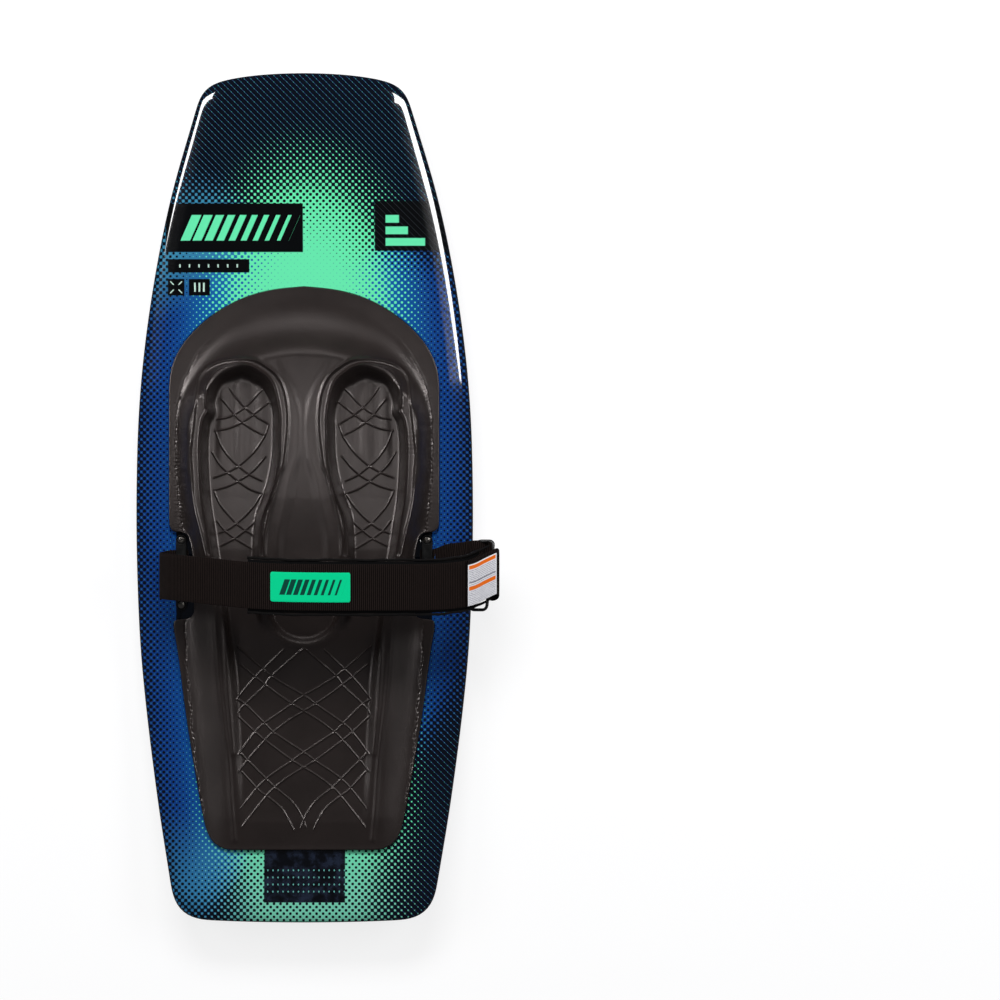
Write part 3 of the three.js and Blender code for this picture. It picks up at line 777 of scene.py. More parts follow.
def hull_z(y):
    rocker = np.where(np.asarray(y) > 0, NOSE_ROCKER, TAIL_ROCKER)
    return rocker * beyond_flat(y) ** 2 - CHANNEL_DEPTH


def deck_z(y):
    thinning = np.where(np.asarray(y) > 0, NOSE_THINNING, TAIL_THINNING)
    return hull_z(y) + THICKNESS - thinning * beyond_flat(y)


def parting_z(y):
    return hull_z(y) + (deck_z(y) - hull_z(y)) * PARTING_SHARE


def board_outline(spacing):
    nose = bezier([(0, 665), (50, 665), (95, 661), (127, 653)], 20)
    shoulder = bezier([(127, 653), (147, 648), (158, 640), (165, 622)], 20)
    side = catmull_rom(
        [(165, 622), (211, 466), (242, 310), (260, 153), (265, -20), (261, -191), (251, -316),
         (231, -472), (208, -613)], 20)
    corner = bezier([(208, -613), (203, -640), (190, -657), (158, -661)], 20)
    tail = bezier([(158, -661), (105, -664), (50, -665), (0, -665)], 20)
    line = np.vstack([nose, shoulder[1:], side[1:], corner[1:], tail[1:]])
    return mirrored_loop(smooth_line(resample(line, spacing), 3))


OUTLINE = board_outline(8)
INWARD = inward_normals(OUTLINE)

# The deck's shoulder and rail: distance in from the edge, and drop below the flat of the deck.
RAIL_SECTION = [
    (32, 0), (29, 0.2), (24, 1), (18, 2.2), (12, 3.8), (7, 6.2), (4, 8.5), (2, 11), (0.8, 14.6), (0.15, 20),
    (0, 28.1),
]
HULL_EDGE_INSET = 12
HULL_EDGE_DROP = 20
ROUND_POWER = 2.3
PARTING_GAP = 0.15


def lifted(place, z):
    return np.column_stack([place, z])


def quarter(steps):
    """Shares of the way in and down along a full, rounded quarter turn."""
    angle = np.linspace(0, math.pi / 2, steps + 1)
    sideways = 1 - np.sin(angle) ** (2 / ROUND_POWER)
    down = 1 - np.cos(angle) ** (2 / ROUND_POWER)
    return zip(sideways, down)


def deck_rail():
    """Rings from the flat of the deck, over the rail, down to the parting line, with their drops."""
    rings, drops = [], []
    for inset, drop in catmull_rom(RAIL_SECTION, 3):
        place = OUTLINE + INWARD * inset
        top, low = deck_z(place[:, 1]), parting_z(place[:, 1]) + PARTING_GAP
        rings.append(lifted(place, top + (low - top) * drop / RAIL_SECTION[-1][1]))
        drops.append(rail_marks(drop))
    return rings, drops


def rail_marks(drop):
    """Marks that tell the print how far round the rail a ring lies."""
    return np.tile([drop, 0.0, 0.0], (len(OUTLINE), 1))


# ---- knee pad lines, as in the CAD model ----

PAD_SIDE = [
    (0, 332), (55, 327), (104, 312), (152, 283), (189, 246), (207, 212), (212, 182), (212, 150), (212, -34),
    (211, -46), (205, -53), (192, -54), (184, -56), (180, -62), (176, -78), (173, -100), (172, -172),
    (173, -182), (178, -188), (190, -190), (202, -191), (205, -196), (204, -210), (198, -240), (186, -338),
    (171, -427), (157, -505), (149, -530), (138, -543), (120, -551), (95, -551), (0, -551),
]
RIDGE_X = [(110, 176), (47, 177), (-30, 165), (-75, 153), (-180, 138), (-285, 126), (-400, 119), (-551, 112)]
CREASE_X = [(138, 201), (47, 201), (-20, 195), (-50, 190), (-190, 186), (-240, 186), (-400, 172), (-551, 150)]
RIDGE_HEIGHT = [(200, 42), (0, 42), (-75, 38), (-180, 32), (-285, 26), (-400, 20), (-500, 14), (-545, 8)]
WELL_FLOOR = [(160, 10), (0, 12), (-81, 16), (-180, 14), (-240, 13)]
FLANGE_HEIGHT = 5
DOME_Y = 110
DOME_RIDGE = (176, 112)
DOME_CREASE = (201, 208)
HOLLOW_Y = -167
HOLLOW_FLOOR = 6
TRAY_FLOOR = 13
TRAY_FRONT = -165
CREASE_REAR = -520

# Raised lines in the left knee well, each a short smooth curve.
WELL_LINES = [
    [(-117, 172), (-104, 154), (-84, 134), (-55, 115)],
    [(-128, 154), (-104, 125), (-85, 110), (-62, 98)],
    [(-136, 123), (-115, 128), (-91, 143), (-66, 169)],
    [(-140, 105), (-115, 110), (-88, 124), (-56, 149)],
    [(-139, 107), (-129, 81), (-115, 61), (-100, 48), (-85, 36), (-66, 27)],
    [(-55, 115), (-63, 94), (-79, 71), (-100, 52), (-120, 40), (-140, 32)],
    [(-144, 72), (-129, 49), (-104, 27), (-85, 14), (-66, 7)],
    [(-60, 65), (-79, 43), (-100, 28), (-120, 18), (-141, 12)],
    [(-141, 12), (-132, -9), (-117, -28), (-100, -45), (-80, -58)],
    [(-66, 7), (-77, -11), (-94, -30), (-115, -47), (-133, -55)],
    [(-136, -36), (-123, -52), (-104, -66), (-82, -79)],
    [(-78, -39), (-91, -50), (-109, -64), (-130, -75)],
]
# Raised lines of the tray that run down to the right. Their mirror images cross them.
TRAY_LINES = [
    [(32, -238), (62, -267), (81, -286), (104, -314)],
    [(2, -237), (50, -279), (64, -297), (94, -325), (102, -336)],
    [(-104, -233), (-75, -259), (-44, -284), (2, -311), (21, -325), (64, -355), (78, -369), (101, -400)],
    [(-100, -261), (-58, -295), (-17, -324), (21, -347), (48, -367), (62, -381), (89, -412), (101, -428)],
    [(-103, -316), (-90, -325), (-60, -355), (-45, -369), (2, -400), (18, -412), (62, -443), (98, -485)],
    [(-102, -343), (-74, -369), (-58, -382), (-17, -412), (21, -435), (47, -455), (60, -469), (96, -514)],
    [(-98, -401), (-86, -413), (-56, -443), (-43, -455), (-20, -474), (-6, -493), (4, -515)],
    [(-96, -430), (-70, -458), (-55, -469), (-33, -488), (-16, -518)],
]


def side_share(x, y):
    """How far a point lies from the pad's ridge (0) to its crease with the flange (1)."""
    ridge = table(RIDGE_X, y)
    straight = (x - ridge) / (table(CREASE_X, y) - ridge)
    inner = np.hypot(x / DOME_RIDGE[0], (y - DOME_Y) / DOME_RIDGE[1])
    outer = np.hypot(x / DOME_CREASE[0], (y - DOME_Y) / DOME_CREASE[1])
    domed = (inner - 1) / np.maximum(1e-6, inner - outer)
    return np.where(y <= DOME_Y, straight, domed)


# Lines of the right-hand knee well and tray; the left side mirrors them.
RIM_LINE = [
    (153, -89), (161, -52), (167, -29), (173, 1), (175, 39), (177, 69), (175, 91), (171, 130), (166, 178),
    (162, 192), (151, 205), (131, 214), (102, 218), (76, 216), (56, 205), (40, 191), (30, 172), (25, 150),
    (23, 122), (25, 91), (30, 52), (35, 39), (43, 9), (53, -29), (59, -59), (60, -90),
]
LIP_LINE = [
    (144, -90), (151, -44), (156, -14), (159, 16), (161, 54), (161, 92), (157, 122), (150, 136), (152, 147),
    (152, 163), (149, 178), (142, 191), (131, 200), (115, 206), (99, 209), (80, 206), (65, 197), (54, 188),
    (46, 175), (41, 156), (37, 130), (37, 107), (38, 69), (44, 31), (53, 1), (64, -29), (68, -59), (69, -90),
]
WELL_TAIL = [(67, -130), (65, -180), (55, -240), (115, -240), (129, -180), (137, -130)]
SHOULDER_LINE = [
    (60, 238), (48, 228), (37, 200), (21, 172), (13, 150), (8, 130), (6, 107), (9, 69), (20, 31), (29, -14),
    (38, -52), (41, -90),
]
TRAY_RIDGES = [
    [(139, -170), (136, -230), (131, -300), (124, -360), (117, -415), (113, -480), (108, -535)],
    [(122, -170), (122, -230), (119, -300), (114, -360), (110, -400)],
]
STEP_LINE = [(120, 181), (106, 186), (93, 188), (77, 183)]


def signed_distance(points, loop):
    """The distance to a closed line, positive inside it."""
    away = line_distances(points, closed(loop))
    return np.where(inside(points, loop), away, -away)


RIM = catmull_rom(RIM_LINE, 6)
LIP = catmull_rom(LIP_LINE, 6)
SHOULDER = catmull_rom(SHOULDER_LINE, 6)
TRAY_RIDGE = [catmull_rom(line, 6) for line in TRAY_RIDGES]
STEP = catmull_rom(STEP_LINE, 6)


def pad_height(signed_x, y):
    """Height of the pad's top above the deck, before its embossed lines."""
    x = np.abs(signed_x)
    place = np.column_stack([x, y])
    share = smooth(0, 1, side_share(x, y))
    height = table(RIDGE_HEIGHT, y)
    height += (FLANGE_HEIGHT - height) * share

    # The middle falls away from the shoulders, which carry a soft crest.
    shoulder_x, shoulder_y = SHOULDER.T
    across = np.interp(-y, -shoulder_y, shoulder_x) - x
    height -= 3 * smooth(-2, 14, across) * smooth(-150, -70, y) * smooth(240, 130, y)
    fade_crest = smooth(235, 190, y) * smooth(-120, -60, y)
    height += 0.6 * bump_line(line_distances(place, SHOULDER), 5) * fade_crest

    # Each knee well: a groove between its rim and lip, a sloping wall, ribs, flutes and a step.
    to_rim, to_lip = line_distances(place, RIM), line_distances(place, LIP)
    depth = signed_distance(place, np.vstack([LIP, WELL_TAIL]))
    between_them = inside(place, RIM) & (depth < 0)
    fade = smooth(-120, -80, y)
    height -= 2.7 * smooth(0, 5, np.minimum(to_rim, to_lip)) * between_them * fade
    wall = 13 + 10 * smooth(140, 190, y)
    height += (table(WELL_FLOOR, y) - height) * smooth(0, 1, depth / wall)
    height += (2.6 * bump_line(to_rim, 2.4) + 2.0 * bump_line(to_lip, 2.0)) * fade
    outer_side = smooth(0, 20, x - 110) * smooth(40, 70, y) * smooth(190, 160, y)
    height += 0.4 * np.sin(y * 2 * math.pi / 6.4) * between_them * outer_side
    flutes = np.cos((x - 97) / 5.0) * smooth(14, 26, depth) * smooth(20, 90, y)
    height = height + 1.3 * flutes + 1.2 * bump_line(line_distances(place, STEP), 3)

    # The shin tray, its side ridges and the heel hollow.
    tray = smooth(0, 14, table(RIDGE_X, y) - 10 - x) * smooth(TRAY_FRONT, TRAY_FRONT - 45, y)
    height += (np.minimum(height, TRAY_FLOOR) - height) * tray
    for line in TRAY_RIDGE:
        height += 2.0 * bump_line(line_distances(place, line), 3.6)
    radius = np.hypot(x, y - HOLLOW_Y)
    height += 1.3 * bump_line(radius - 66, 5) * smooth(-130, -170, y)
    return height + (np.minimum(height, HOLLOW_FLOOR) - height) * smooth(61, 50, radius)


def mirrored_lines(lines):
    return [*lines, *([(-x, y) for x, y in line] for line in lines)]


def ribbon_points(lines, offsets, spacing):
    """Points in rows beside smooth lines."""
    rows = []
    for line in lines:
        path = resample(line, spacing)
        along = unit(np.gradient(path, axis=0))
        sideways = np.column_stack([along[:, 1], -along[:, 0]])
        rows.extend(path + sideways * offset for offset in offsets)
    return np.vstack(rows)


def crease_line():
    """The line where the thick pad meets its thin flange, from the rear, round the front, to the rear."""
    ys = np.arange(CREASE_REAR, DOME_Y, 3.0)
    right = np.column_stack([table(CREASE_X, ys), ys])
    angle = np.linspace(0, math.pi, 160)
    dome = np.column_stack([DOME_CREASE[0] * np.cos(angle), DOME_Y + DOME_CREASE[1] * np.sin(angle)])
    left = right[::-1] * [-1, 1]
    line = smooth_line(resample(np.vstack([right, dome, left]), 3), 6)
    wander = np.sin(line[:, 1] * 0.31) * 0.6 + np.sin(line[:, 1] * 0.13 + line[:, 0] * 0.05) * 0.9
    return line + np.column_stack([wander * np.sign(line[:, 0]), np.zeros(len(line))])


PAD_GRID = 3.2
PAD_EDGE = 1.8
PAD_LOWEST = 2.0
RIBBON_CLEAR = 1.3


def knee_pad(material):
    outline = rounded_loop(PAD_SIDE, 3)
    inward = inward_normals(outline)
    edge = outline + inward * PAD_EDGE
    lines = [catmull_rom(line, 8) for line in mirrored_lines(WELL_LINES) + mirrored_lines(TRAY_LINES)]
    crease = crease_line()
    ridges = mirrored_lines([RIM, LIP, *TRAY_RIDGE])
    fine = ribbon_points(lines, np.linspace(-2.7, 2.7, 7), 2.2)
    broad = np.vstack([
        ribbon_points([crease], np.linspace(-4, 4, 7), 2.4),
        ribbon_points(ridges, np.linspace(-5.6, 5.6, 9), 2.6),
    ])
    ribbons = np.vstack([fine, broad[distances(broad, fine) > RIBBON_CLEAR]])
    ribbons = ribbons[inside(ribbons, edge)]
    grid = grid_points(edge, PAD_GRID, PAD_GRID * 0.45)
    grid = grid[distances(grid, ribbons) > RIBBON_CLEAR]
    place, faces = triangulate(edge, [], np.vstack([grid, ribbons]))

    x, y = place.T
    centres = np.vstack([resample(line, 0.6) for line in lines])
    height = pad_height(x, y)
    height += 1.5 * bump_line(distances(place, centres), 1.0)
    near_crease = line_distances(place, crease, 0.8)
    rough = 0.6 + 0.4 * np.sin(y * 0.9 + np.sin(x * 0.4) * 2)
    height -= 2.0 * bump_line(near_crease, 1.3) * rough * smooth(-545, -500, y) * smooth(260, 190, y)
    puckers = 0.55 * np.sin(y * 1.05 + x * 0.2) * bump_line(near_crease - 4, 4)
    height += puckers * smooth(200, 120, np.abs(y - 20))
    height = np.maximum(height, PAD_LOWEST)
    top = lifted(place, deck_z(y) + height)
    made = Build()
    made.add(top, faces)

    edge_top = pad_height(edge[:, 0], edge[:, 1])
    rings = []
    for sideways, down in quarter(5):
        at = outline + inward * PAD_EDGE * sideways
        rings.append(lifted(at, deck_z(at[:, 1]) + edge_top - PAD_EDGE * down))
    rings[0][:, 2] = deck_z(edge[:, 1]) + height[: len(edge)]
    rings.append(lifted(outline, deck_z(outline[:, 1]) - PAD_BOTTOM))
    made.strip(rings)
    base, base_faces = triangulate(outline, [], grid_points(outline, 30, 6))
    made.add(lifted(base, deck_z(base[:, 1]) - PAD_BOTTOM), base_faces[:, ::-1])
    pad = made.object("knee_pad_foam", material)
    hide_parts("knee_pad")
    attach(pad, "board")


# ---- board skins ----


def recess_outline(grow):
    """The pad's outline grown a little and without its notches."""
    points = []
    for x, y in PAD_SIDE:
        if -190 < y < -40 and x < 206:
            continue
        points.append((x + grow * (x > 150), y + grow * (y > 240) - grow * (y < -530)))
    return rounded_loop(points, 5)


def circle(x, y, radius, count=24):
    angle = np.linspace(0, 2 * math.pi, count, endpoint=False)
    return np.column_stack([x + radius * np.cos(angle), y + radius * np.sin(angle)])


SCREWS = [
    (f"{side}_{end}", sx * ANCHOR_X, ANCHOR_Y + sy * SCREW_SPACING / 2)
    for side, sx in (("left", -1), ("right", 1))
    for end, sy in (("front", 1), ("rear", -1))
]


DECK_GRID = 11
RECESS_GRID = 20


def thicken(skin):
    """Gives an open skin its wall, inward from the shown side."""
    modifier = skin.modifiers.new("wall", "SOLIDIFY")
    modifier.thickness = SKIN * MM
    modifier.offset = -1
    modifier.use_even_offset = False


def deck_skin(material):
    made = Build()
    rings, drops = deck_rail()
    made.strip(rings[::-1], marks=drops[::-1])
    flat_edge = rings[0][:, :2]
    lip = recess_outline(RECESS_CLEARANCE)
    lip_inward = inward_normals(lip)
    place, faces = triangulate(flat_edge, [lip], ring_grid(flat_edge, lip, DECK_GRID))
    made.add(lifted(place, deck_z(place[:, 1])), faces)
    wall = []
    for share in (0, 0.3, 0.7, 1.0):
        at = lip + lip_inward * 0.6 * share**2
        wall.append(lifted(at, deck_z(at[:, 1]) - RECESS_DEPTH * (1 - (1 - share) ** 2)))
    # A narrow ring of floor keeps the wall's smooth shading off the rest of the floor.
    at = lip + lip_inward * 1.6
    wall.append(lifted(at, deck_z(at[:, 1]) - RECESS_DEPTH))
    made.strip(wall)
    floor_edge = wall[-1][:, :2]
    holes = [circle(x, y, DECK_HOLE_RADIUS) for _, x, y in SCREWS]
    points = grid_points(floor_edge, RECESS_GRID, 5)
    points = points[distances(points, [(x, y) for _, x, y in SCREWS]) > 8]
    place, faces = triangulate(floor_edge, holes, points)
    made.add(lifted(place, deck_z(place[:, 1]) - RECESS_DEPTH), faces)
    skin = made.object("deck_skin", material)
    thicken(skin)
    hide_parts("deck_shell")
    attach(skin, "board")


def ring_grid(outer, hole, spacing):
    points = grid_points(outer, spacing, spacing * 0.45)
    points = points[~inside(points, hole)]
    return points[distances(points, hole) > spacing * 0.45]


CHANNEL_STEPS = [(119.5, 113, 1.2), (77.5, 66.5, 2.0), (38, 27, 2.2)]
CHANNEL_NOSE_END = 575
CHANNEL_TAIL_END = -640
CHANNEL_FADE = 60
HULL_GRID = 12
BEND_INNER = 162
BEND_OUTER = 262
BEVEL_END = 535
BEVEL_START = 0.70
BEVEL_RISE = 13.5


def channel_depth(x, y):
    """How deep the stepped channel is pressed up into the hull."""
    x = np.abs(x)
    depth = 0
    for outer, inner, rise in CHANNEL_STEPS:
        slope = np.clip((outer - x) / (outer - inner), 0, 1)
        depth = depth + rise * (0.4 * slope + 0.6 * slope * slope * (3 - 2 * slope))
    fade = smooth(CHANNEL_NOSE_END, CHANNEL_NOSE_END - CHANNEL_FADE, y)
    return depth * fade * smooth(CHANNEL_TAIL_END, CHANNEL_TAIL_END + CHANNEL_FADE, y)


def half_width(y):
    right = OUTLINE[: len(OUTLINE) // 2 + 1]
    return np.interp(-np.asarray(y), -right[:, 1], right[:, 0])


def hull_rise(x, y):
    """How far the hull's outer bevel has risen towards the rail."""
    along = np.maximum(0, np.abs(y) - BEVEL_END) / (HALF_LENGTH - BEVEL_END)
    width = np.maximum(half_width(np.clip(y, -BEVEL_END, BEVEL_END)), 1)
    share = (np.abs(x / width) ** 6 + along**6) ** (1 / 6)
    thin = (deck_z(y) - hull_z(y)) / THICKNESS
    ramp = np.maximum(0, share - BEVEL_START) / 0.30
    softened = np.sqrt(ramp * ramp + 0.0036) - 0.06
    return BEVEL_RISE * thin * softened


def tail_groove(x, y):
    """A shallow step on each side of the tail that tapers towards its corner."""
    place = 172 - np.maximum(0, -y - 380) * 0.045
    reach = smooth(-215, -260, y) * smooth(-640, -560, y)
    out = np.abs(x)
    return (smooth(place + 1.5, place - 1.5, out) - smooth(place - 9, place - 12, out)) * 1.2 * reach


def hull_height(x, y):
    return hull_z(y) + hull_rise(x, y) + channel_depth(x, y) + tail_groove(x, y)


def hull_skin(material):
    made = Build()
    edge = OUTLINE + INWARD * HULL_EDGE_INSET
    edge_z = hull_height(edge[:, 0], edge[:, 1])
    rings, drops = [], []
    for sideways, up in quarter(10):
        place = OUTLINE + INWARD * HULL_EDGE_INSET * sideways
        high = parting_z(place[:, 1]) - PARTING_GAP
        rings.append(lifted(place, edge_z + (high - edge_z) * up))
        drops.append(rail_marks(HULL_EDGE_DROP * up))
    made.strip(rings, marks=drops)
    columns = []
    for outer, inner, _ in CHANNEL_STEPS:
        columns.extend(np.linspace(outer + 2, inner - 2, 9))
    columns = sorted({*columns, *(-c for c in columns)})
    bend = np.arange(BEND_INNER, BEND_OUTER, 4.0)
    columns.extend([*-bend, *bend])
    lines = np.array([(c, y) for c in columns for y in np.arange(-652, 640, float(HULL_GRID))])
    lines = lines[inside(lines, edge)]
    lines = lines[distances(lines, edge) > 4]
    grid = grid_points(edge, HULL_GRID, 5)
    grid = grid[distances(grid, lines) > 5]
    place, faces = triangulate(edge, [], np.vstack([grid, lines]))
    made.add(lifted(place, hull_height(*place.T)), faces[:, ::-1])
    skin = made.object("hull_skin", material)
    thicken(skin)
    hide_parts("hull_shell")
    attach(skin, "board")


# ---- strap ----

ROOT_Z = PLATE_BOTTOM + 0.3 + WEBBING_THICKNESS / 2
ARCH = [
    (-219, 60, -3), (-224, 78, -4), (-217, 104, -5), (-192, 134, -7), (-140, 162, -12), (-60, 182, -19),
    (30, 189, -21), (120, 181, -21), (190, 165, -21), (232, 146, -19), (262, 124, -14), (279, 103, -4),
    (283, 90, 3),
]
ARCH_STEPS = 48
# The return strap is doubled: each of its layers lies this far from their middle line.
LAYER_OFFSET = 1.05
TETHER = [(227, 56.5, 10), (240, 61, 11.5), (251, 67.5, 13)]
# The return strap's end: over the ring's inner bar, out, and back underneath the bar to the strap.
RETURN_LOOP = [
    (258, 74.5, 14), (264, 79.5, 14.6), (271, 80.3, 15), (279, 78.6, 15), (287, 75.3, 15), (291, 72.6, 15),
    (292, 70, 15), (289.5, 67.4, 15), (284, 67.2, 15), (275, 69.4, 15), (266, 69.6, 15), (258, 67.8, 14.5),
]


def strap_path(points):
    return np.array([(x, ANCHOR_Y + lean, z) for x, z, lean in points], float)


def root(sign):
    lean = 8 if sign > 0 else -2
    return strap_path([
        (sign * 182, ROOT_Z, 0), (sign * 196, ROOT_Z, 0), (sign * 205, ROOT_Z + 1, lean / 4),
        (sign * 213, ROOT_Z + 4.5, lean * 2 / 3), (sign * 217.5, ROOT_Z + 8.5, lean),
    ])


def fold(start, end):
    """Part of the arch's loop round the ring's outer bar. Its slack sags to the rear."""
    angle = np.linspace(start, end, 24)
    x = ARCH_LOOP["x"] + ARCH_LOOP["radius"] * np.cos(np.radians(angle))
    z = ARCH_LOOP["z"] + ARCH_LOOP["radius"] * np.sin(np.radians(angle))
    y = ARCH_LOOP["y"] - ARCH_SAG * np.sin(np.clip((angle - LOOP_START) / LOOP_SAG_SPAN, 0, 1) * math.pi)
    return np.column_stack([x, y, z])


PATH_SPACING = 0.78


class Path:
    """A strap's middle line with its across and outward directions."""

    def __init__(self, points, skews, spacing=PATH_SPACING):
        line = np.column_stack([points, skews])
        line = resample(smooth_line(resample(line, 1.5), 4), spacing)
        self.points = line[:, :3]
        tangent = unit(np.gradient(self.points, axis=0))
        self.across = np.column_stack([np.sin(line[:, 3]), np.cos(line[:, 3]), np.zeros(len(line))])
        self.outward = unit(np.cross(tangent, self.across))
        steps = np.linalg.norm(np.diff(self.points, axis=0), axis=1)
        self.along = np.concatenate([[0], np.cumsum(steps)])

    def at(self, row, sideways, level):
        return self.points[row] + self.across[row] * sideways + self.outward[row] * level

    def part(self, rows, level, sideways=0.0):
        """Keeps some rows, moved outward to a level and sideways."""
        self.points = self.at(rows, sideways, level)
        self.across, self.outward = self.across[rows], self.outward[rows]
        self.along = self.along[rows] - self.along[rows[0]]
        return self


ARCH_CURVE = catmull_rom(strap_path(ARCH), 24, 0.5)


def arch_part(first, last, level, spacing=PATH_SPACING):
    """The arch between two of its steps, moved outward to a level."""
    line = resample(ARCH_CURVE, 1.5)
    path = Path(line, np.zeros(len(line)), spacing)
    share = path.along / path.along[-1] * ARCH_STEPS
    return path.part(np.where((share >= first) & (share <= last))[0], level)


def superellipse(width, thickness, count, power):
    """Section points: (across, through), with full sides and rounded edges."""
    angle = np.linspace(0, 2 * math.pi, count, endpoint=False)
    cos, sin = np.cos(angle), np.sin(angle)
    across = np.sign(cos) * np.abs(cos) ** (2 / power) * width / 2
    through = np.sign(sin) * np.abs(sin) ** (2 / power) * thickness / 2
    return np.column_stack([across, through])


def flat_section(width, thickness, across_count=14):
    """A flat band's section with rounded selvages."""
    half, edge = width / 2, thickness / 2
    top = np.linspace(half - edge, -half + edge, across_count)
    turn = np.radians(np.linspace(90, 270, 7))[1:-1]
    left = np.column_stack([-half + edge + edge * np.cos(turn), edge * np.sin(turn)])
    upper = np.column_stack([top, np.full(across_count, edge)])
    return np.vstack([upper, left, -upper, -left])


def sweep(name, path, section, material, wave=None, scale=None, middle=0.0, caps=3):
    """Runs a section along a path.

    wave(along, across, through) returns how far out a point moves. scale(reach) returns the
    section's width and thickness scales at that distance from the nearer end.
    """
    rings, marks = [], []
    for row, run in enumerate(path.along):
        wide, thick = scale(min(run, path.along[-1] - run)) if scale else (1, 1)
        points = []
        for sideways, level in section * [wide, thick]:
            shift = wave(run, sideways, level) if wave else 0.0
            points.append(path.at(row, sideways, level + shift))
        rings.append(np.array(points))
        marks.append(np.column_stack([np.full(len(section), run - middle), section * [wide, 1]]))
    for end in (0, -1):
        centre = rings[end].mean(axis=0)
        for cap in range(1, caps + 1):
            ring = centre + (rings[end] - centre) * (1 - cap / caps * 0.999)
            where = len(rings) if end else 0
            rings.insert(where, ring)
            marks.insert(where, marks[end])
    made = Build()
    made.strip(rings, marks=marks)
    return made.object(name, material)


def tapered(length):
    """Thins a band over a length at each of its ends."""

    def scale(reach):
        return 1, 0.35 + 0.65 * math.sqrt(max(0.0, 1 - max(0.0, 1 - reach / length) ** 2))

    return scale


def ribbed(run, sideways, level):
    """The weave's cross ribs, which stop short of the selvages."""
    return 0.22 * math.cos(2 * math.pi * run / RIB_PITCH) * math.copysign(1, level) * (abs(sideways) < 30)


WEBBING_SECTION = flat_section(WEBBING_WIDTH, WEBBING_THICKNESS)


def main_webbing(material):
    points = np.vstack([catmull_rom(root(-1), 8), ARCH_CURVE, fold(LOOP_START, LOOP_SPLIT)])
    webbing = sweep("webbing", Path(points, np.zeros(len(points))), WEBBING_SECTION, material, ribbed)
    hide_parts("strap_root_left", "strap_webbing", "strap_fold")
    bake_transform(webbing)


TAG_WIDTH = 64
TAG_SHIFT = -3
TAG_LOW_Z = 97.5
TAIL_STEPS = (43.6, 47)
TAIL_LEVEL = 4.9


def tail_path():
    """From the bottom of the slack loop, up round it and back along the outside of the arch."""
    back = arch_part(TAIL_STEPS[0], TAIL_STEPS[1] - 1, TAIL_LEVEL)
    points = np.vstack([fold(LOOP_SPLIT, LOOP_END), back.points[::-1]])
    points = smooth_line(resample(points, 2.0), 8)
    return Path(points, np.zeros(len(points)))


def tail_webbing(material):
    webbing = sweep("webbing_tail", tail_path(), WEBBING_SECTION, material, ribbed)
    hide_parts("strap_tail")
    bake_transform(webbing)


def return_path():
    """Out from under the right plate, over the ring's inner bar, and back underneath itself."""
    out = np.vstack([catmull_rom(root(1), 8), catmull_rom(strap_path(TETHER), 12, 0.5)])
    middle = Path(out, np.linspace(0, RING_SKEW, len(out)))
    above = middle.points - middle.outward * LAYER_OFFSET
    below = (middle.points + middle.outward * LAYER_OFFSET)[-24:]
    loop = catmull_rom(strap_path(RETURN_LOOP), 8, 0.5)
    points = np.vstack([above, loop, below[::-1]])
    turned = np.full(len(loop) + len(below), RING_SKEW)
    return Path(points, np.concatenate([np.linspace(0, RING_SKEW, len(above)), turned]))


def return_strap(material):
    webbing = sweep("return_webbing", return_path(), WEBBING_SECTION, material, ribbed)
    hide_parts("strap_root_right", "return_strap", "return_strap_loop")
    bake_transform(webbing)


PADDING_WIDTH = 80
PADDING_THICKNESS = 5.0
BINDING_OFFSET = 42.2
PADDING_STEPS = (16, 46.8)
PADDING_LEVEL = -4.05
# The binding tapes run on past the padding, out over the ring.
BINDING_END = [(5, 1.5, -5), (12, 4.5, -8.5), (19.5, 8.5, -9.5)]


def strap_padding(material, binding_material):
    path = arch_part(*PADDING_STEPS, PADDING_LEVEL, 2.0)

    def ripple(run, sideways, level):
        edge = (abs(sideways) / (PADDING_WIDTH / 2)) ** 4
        return (0.5 * math.sin(run / 9.5) + 0.35 * math.sin(run / 4.1 + 1)) * edge * (level < 0) - 0.3

    section = superellipse(PADDING_WIDTH, PADDING_THICKNESS, 56, 5)
    padding = sweep("padding_foam", path, section, material, ripple, tapered(6))
    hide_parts("strap_padding")
    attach(padding, "strap")
    for name, sign in (("front", 1), ("rear", -1)):
        edge = arch_part(*PADDING_STEPS, PADDING_LEVEL, 1.6)
        sway = 0.5 * np.sin(edge.along / 17) + 0.35 * np.sin(edge.along / 6.3)
        edge.points = edge.points + edge.across * (sign * BINDING_OFFSET + sway)[:, None]
        loose = edge.points[-6] + np.array(BINDING_END)
        end = catmull_rom(np.vstack([edge.points[-30:-6:8], edge.points[-6], loose]), 8, 0.5)
        points = np.vstack([edge.points[:-30], end])
        edge = Path(points, np.zeros(len(points)), 1.6)

        def pucker(run, sideways, level, phase=sign):
            return 0.18 * math.sin(run * 1.15 + phase) * math.copysign(1, level)

        section = superellipse(4.0, 6.6, 20, 2.6)
        binding = sweep(f"binding_{name}", edge, section, binding_material, pucker, tapered(3))
        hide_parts(f"padding_binding_{name}")
        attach(binding, "strap")


def layer(path, name, node, body, width, thickness, material, corner=0.0):
    """A thin flat layer with rounded corners. Its marks count from its middle."""

    def scale(reach):
        short = corner - math.sqrt(max(0.0, corner**2 - max(0.0, corner - reach) ** 2))
        return (width / 2 - short) / (width / 2), 1

    section = flat_section(width, thickness)
    made = sweep(name, path, section, material, scale=scale, middle=path.along[-1] / 2, caps=1)
    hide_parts(node)
    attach(made, body)


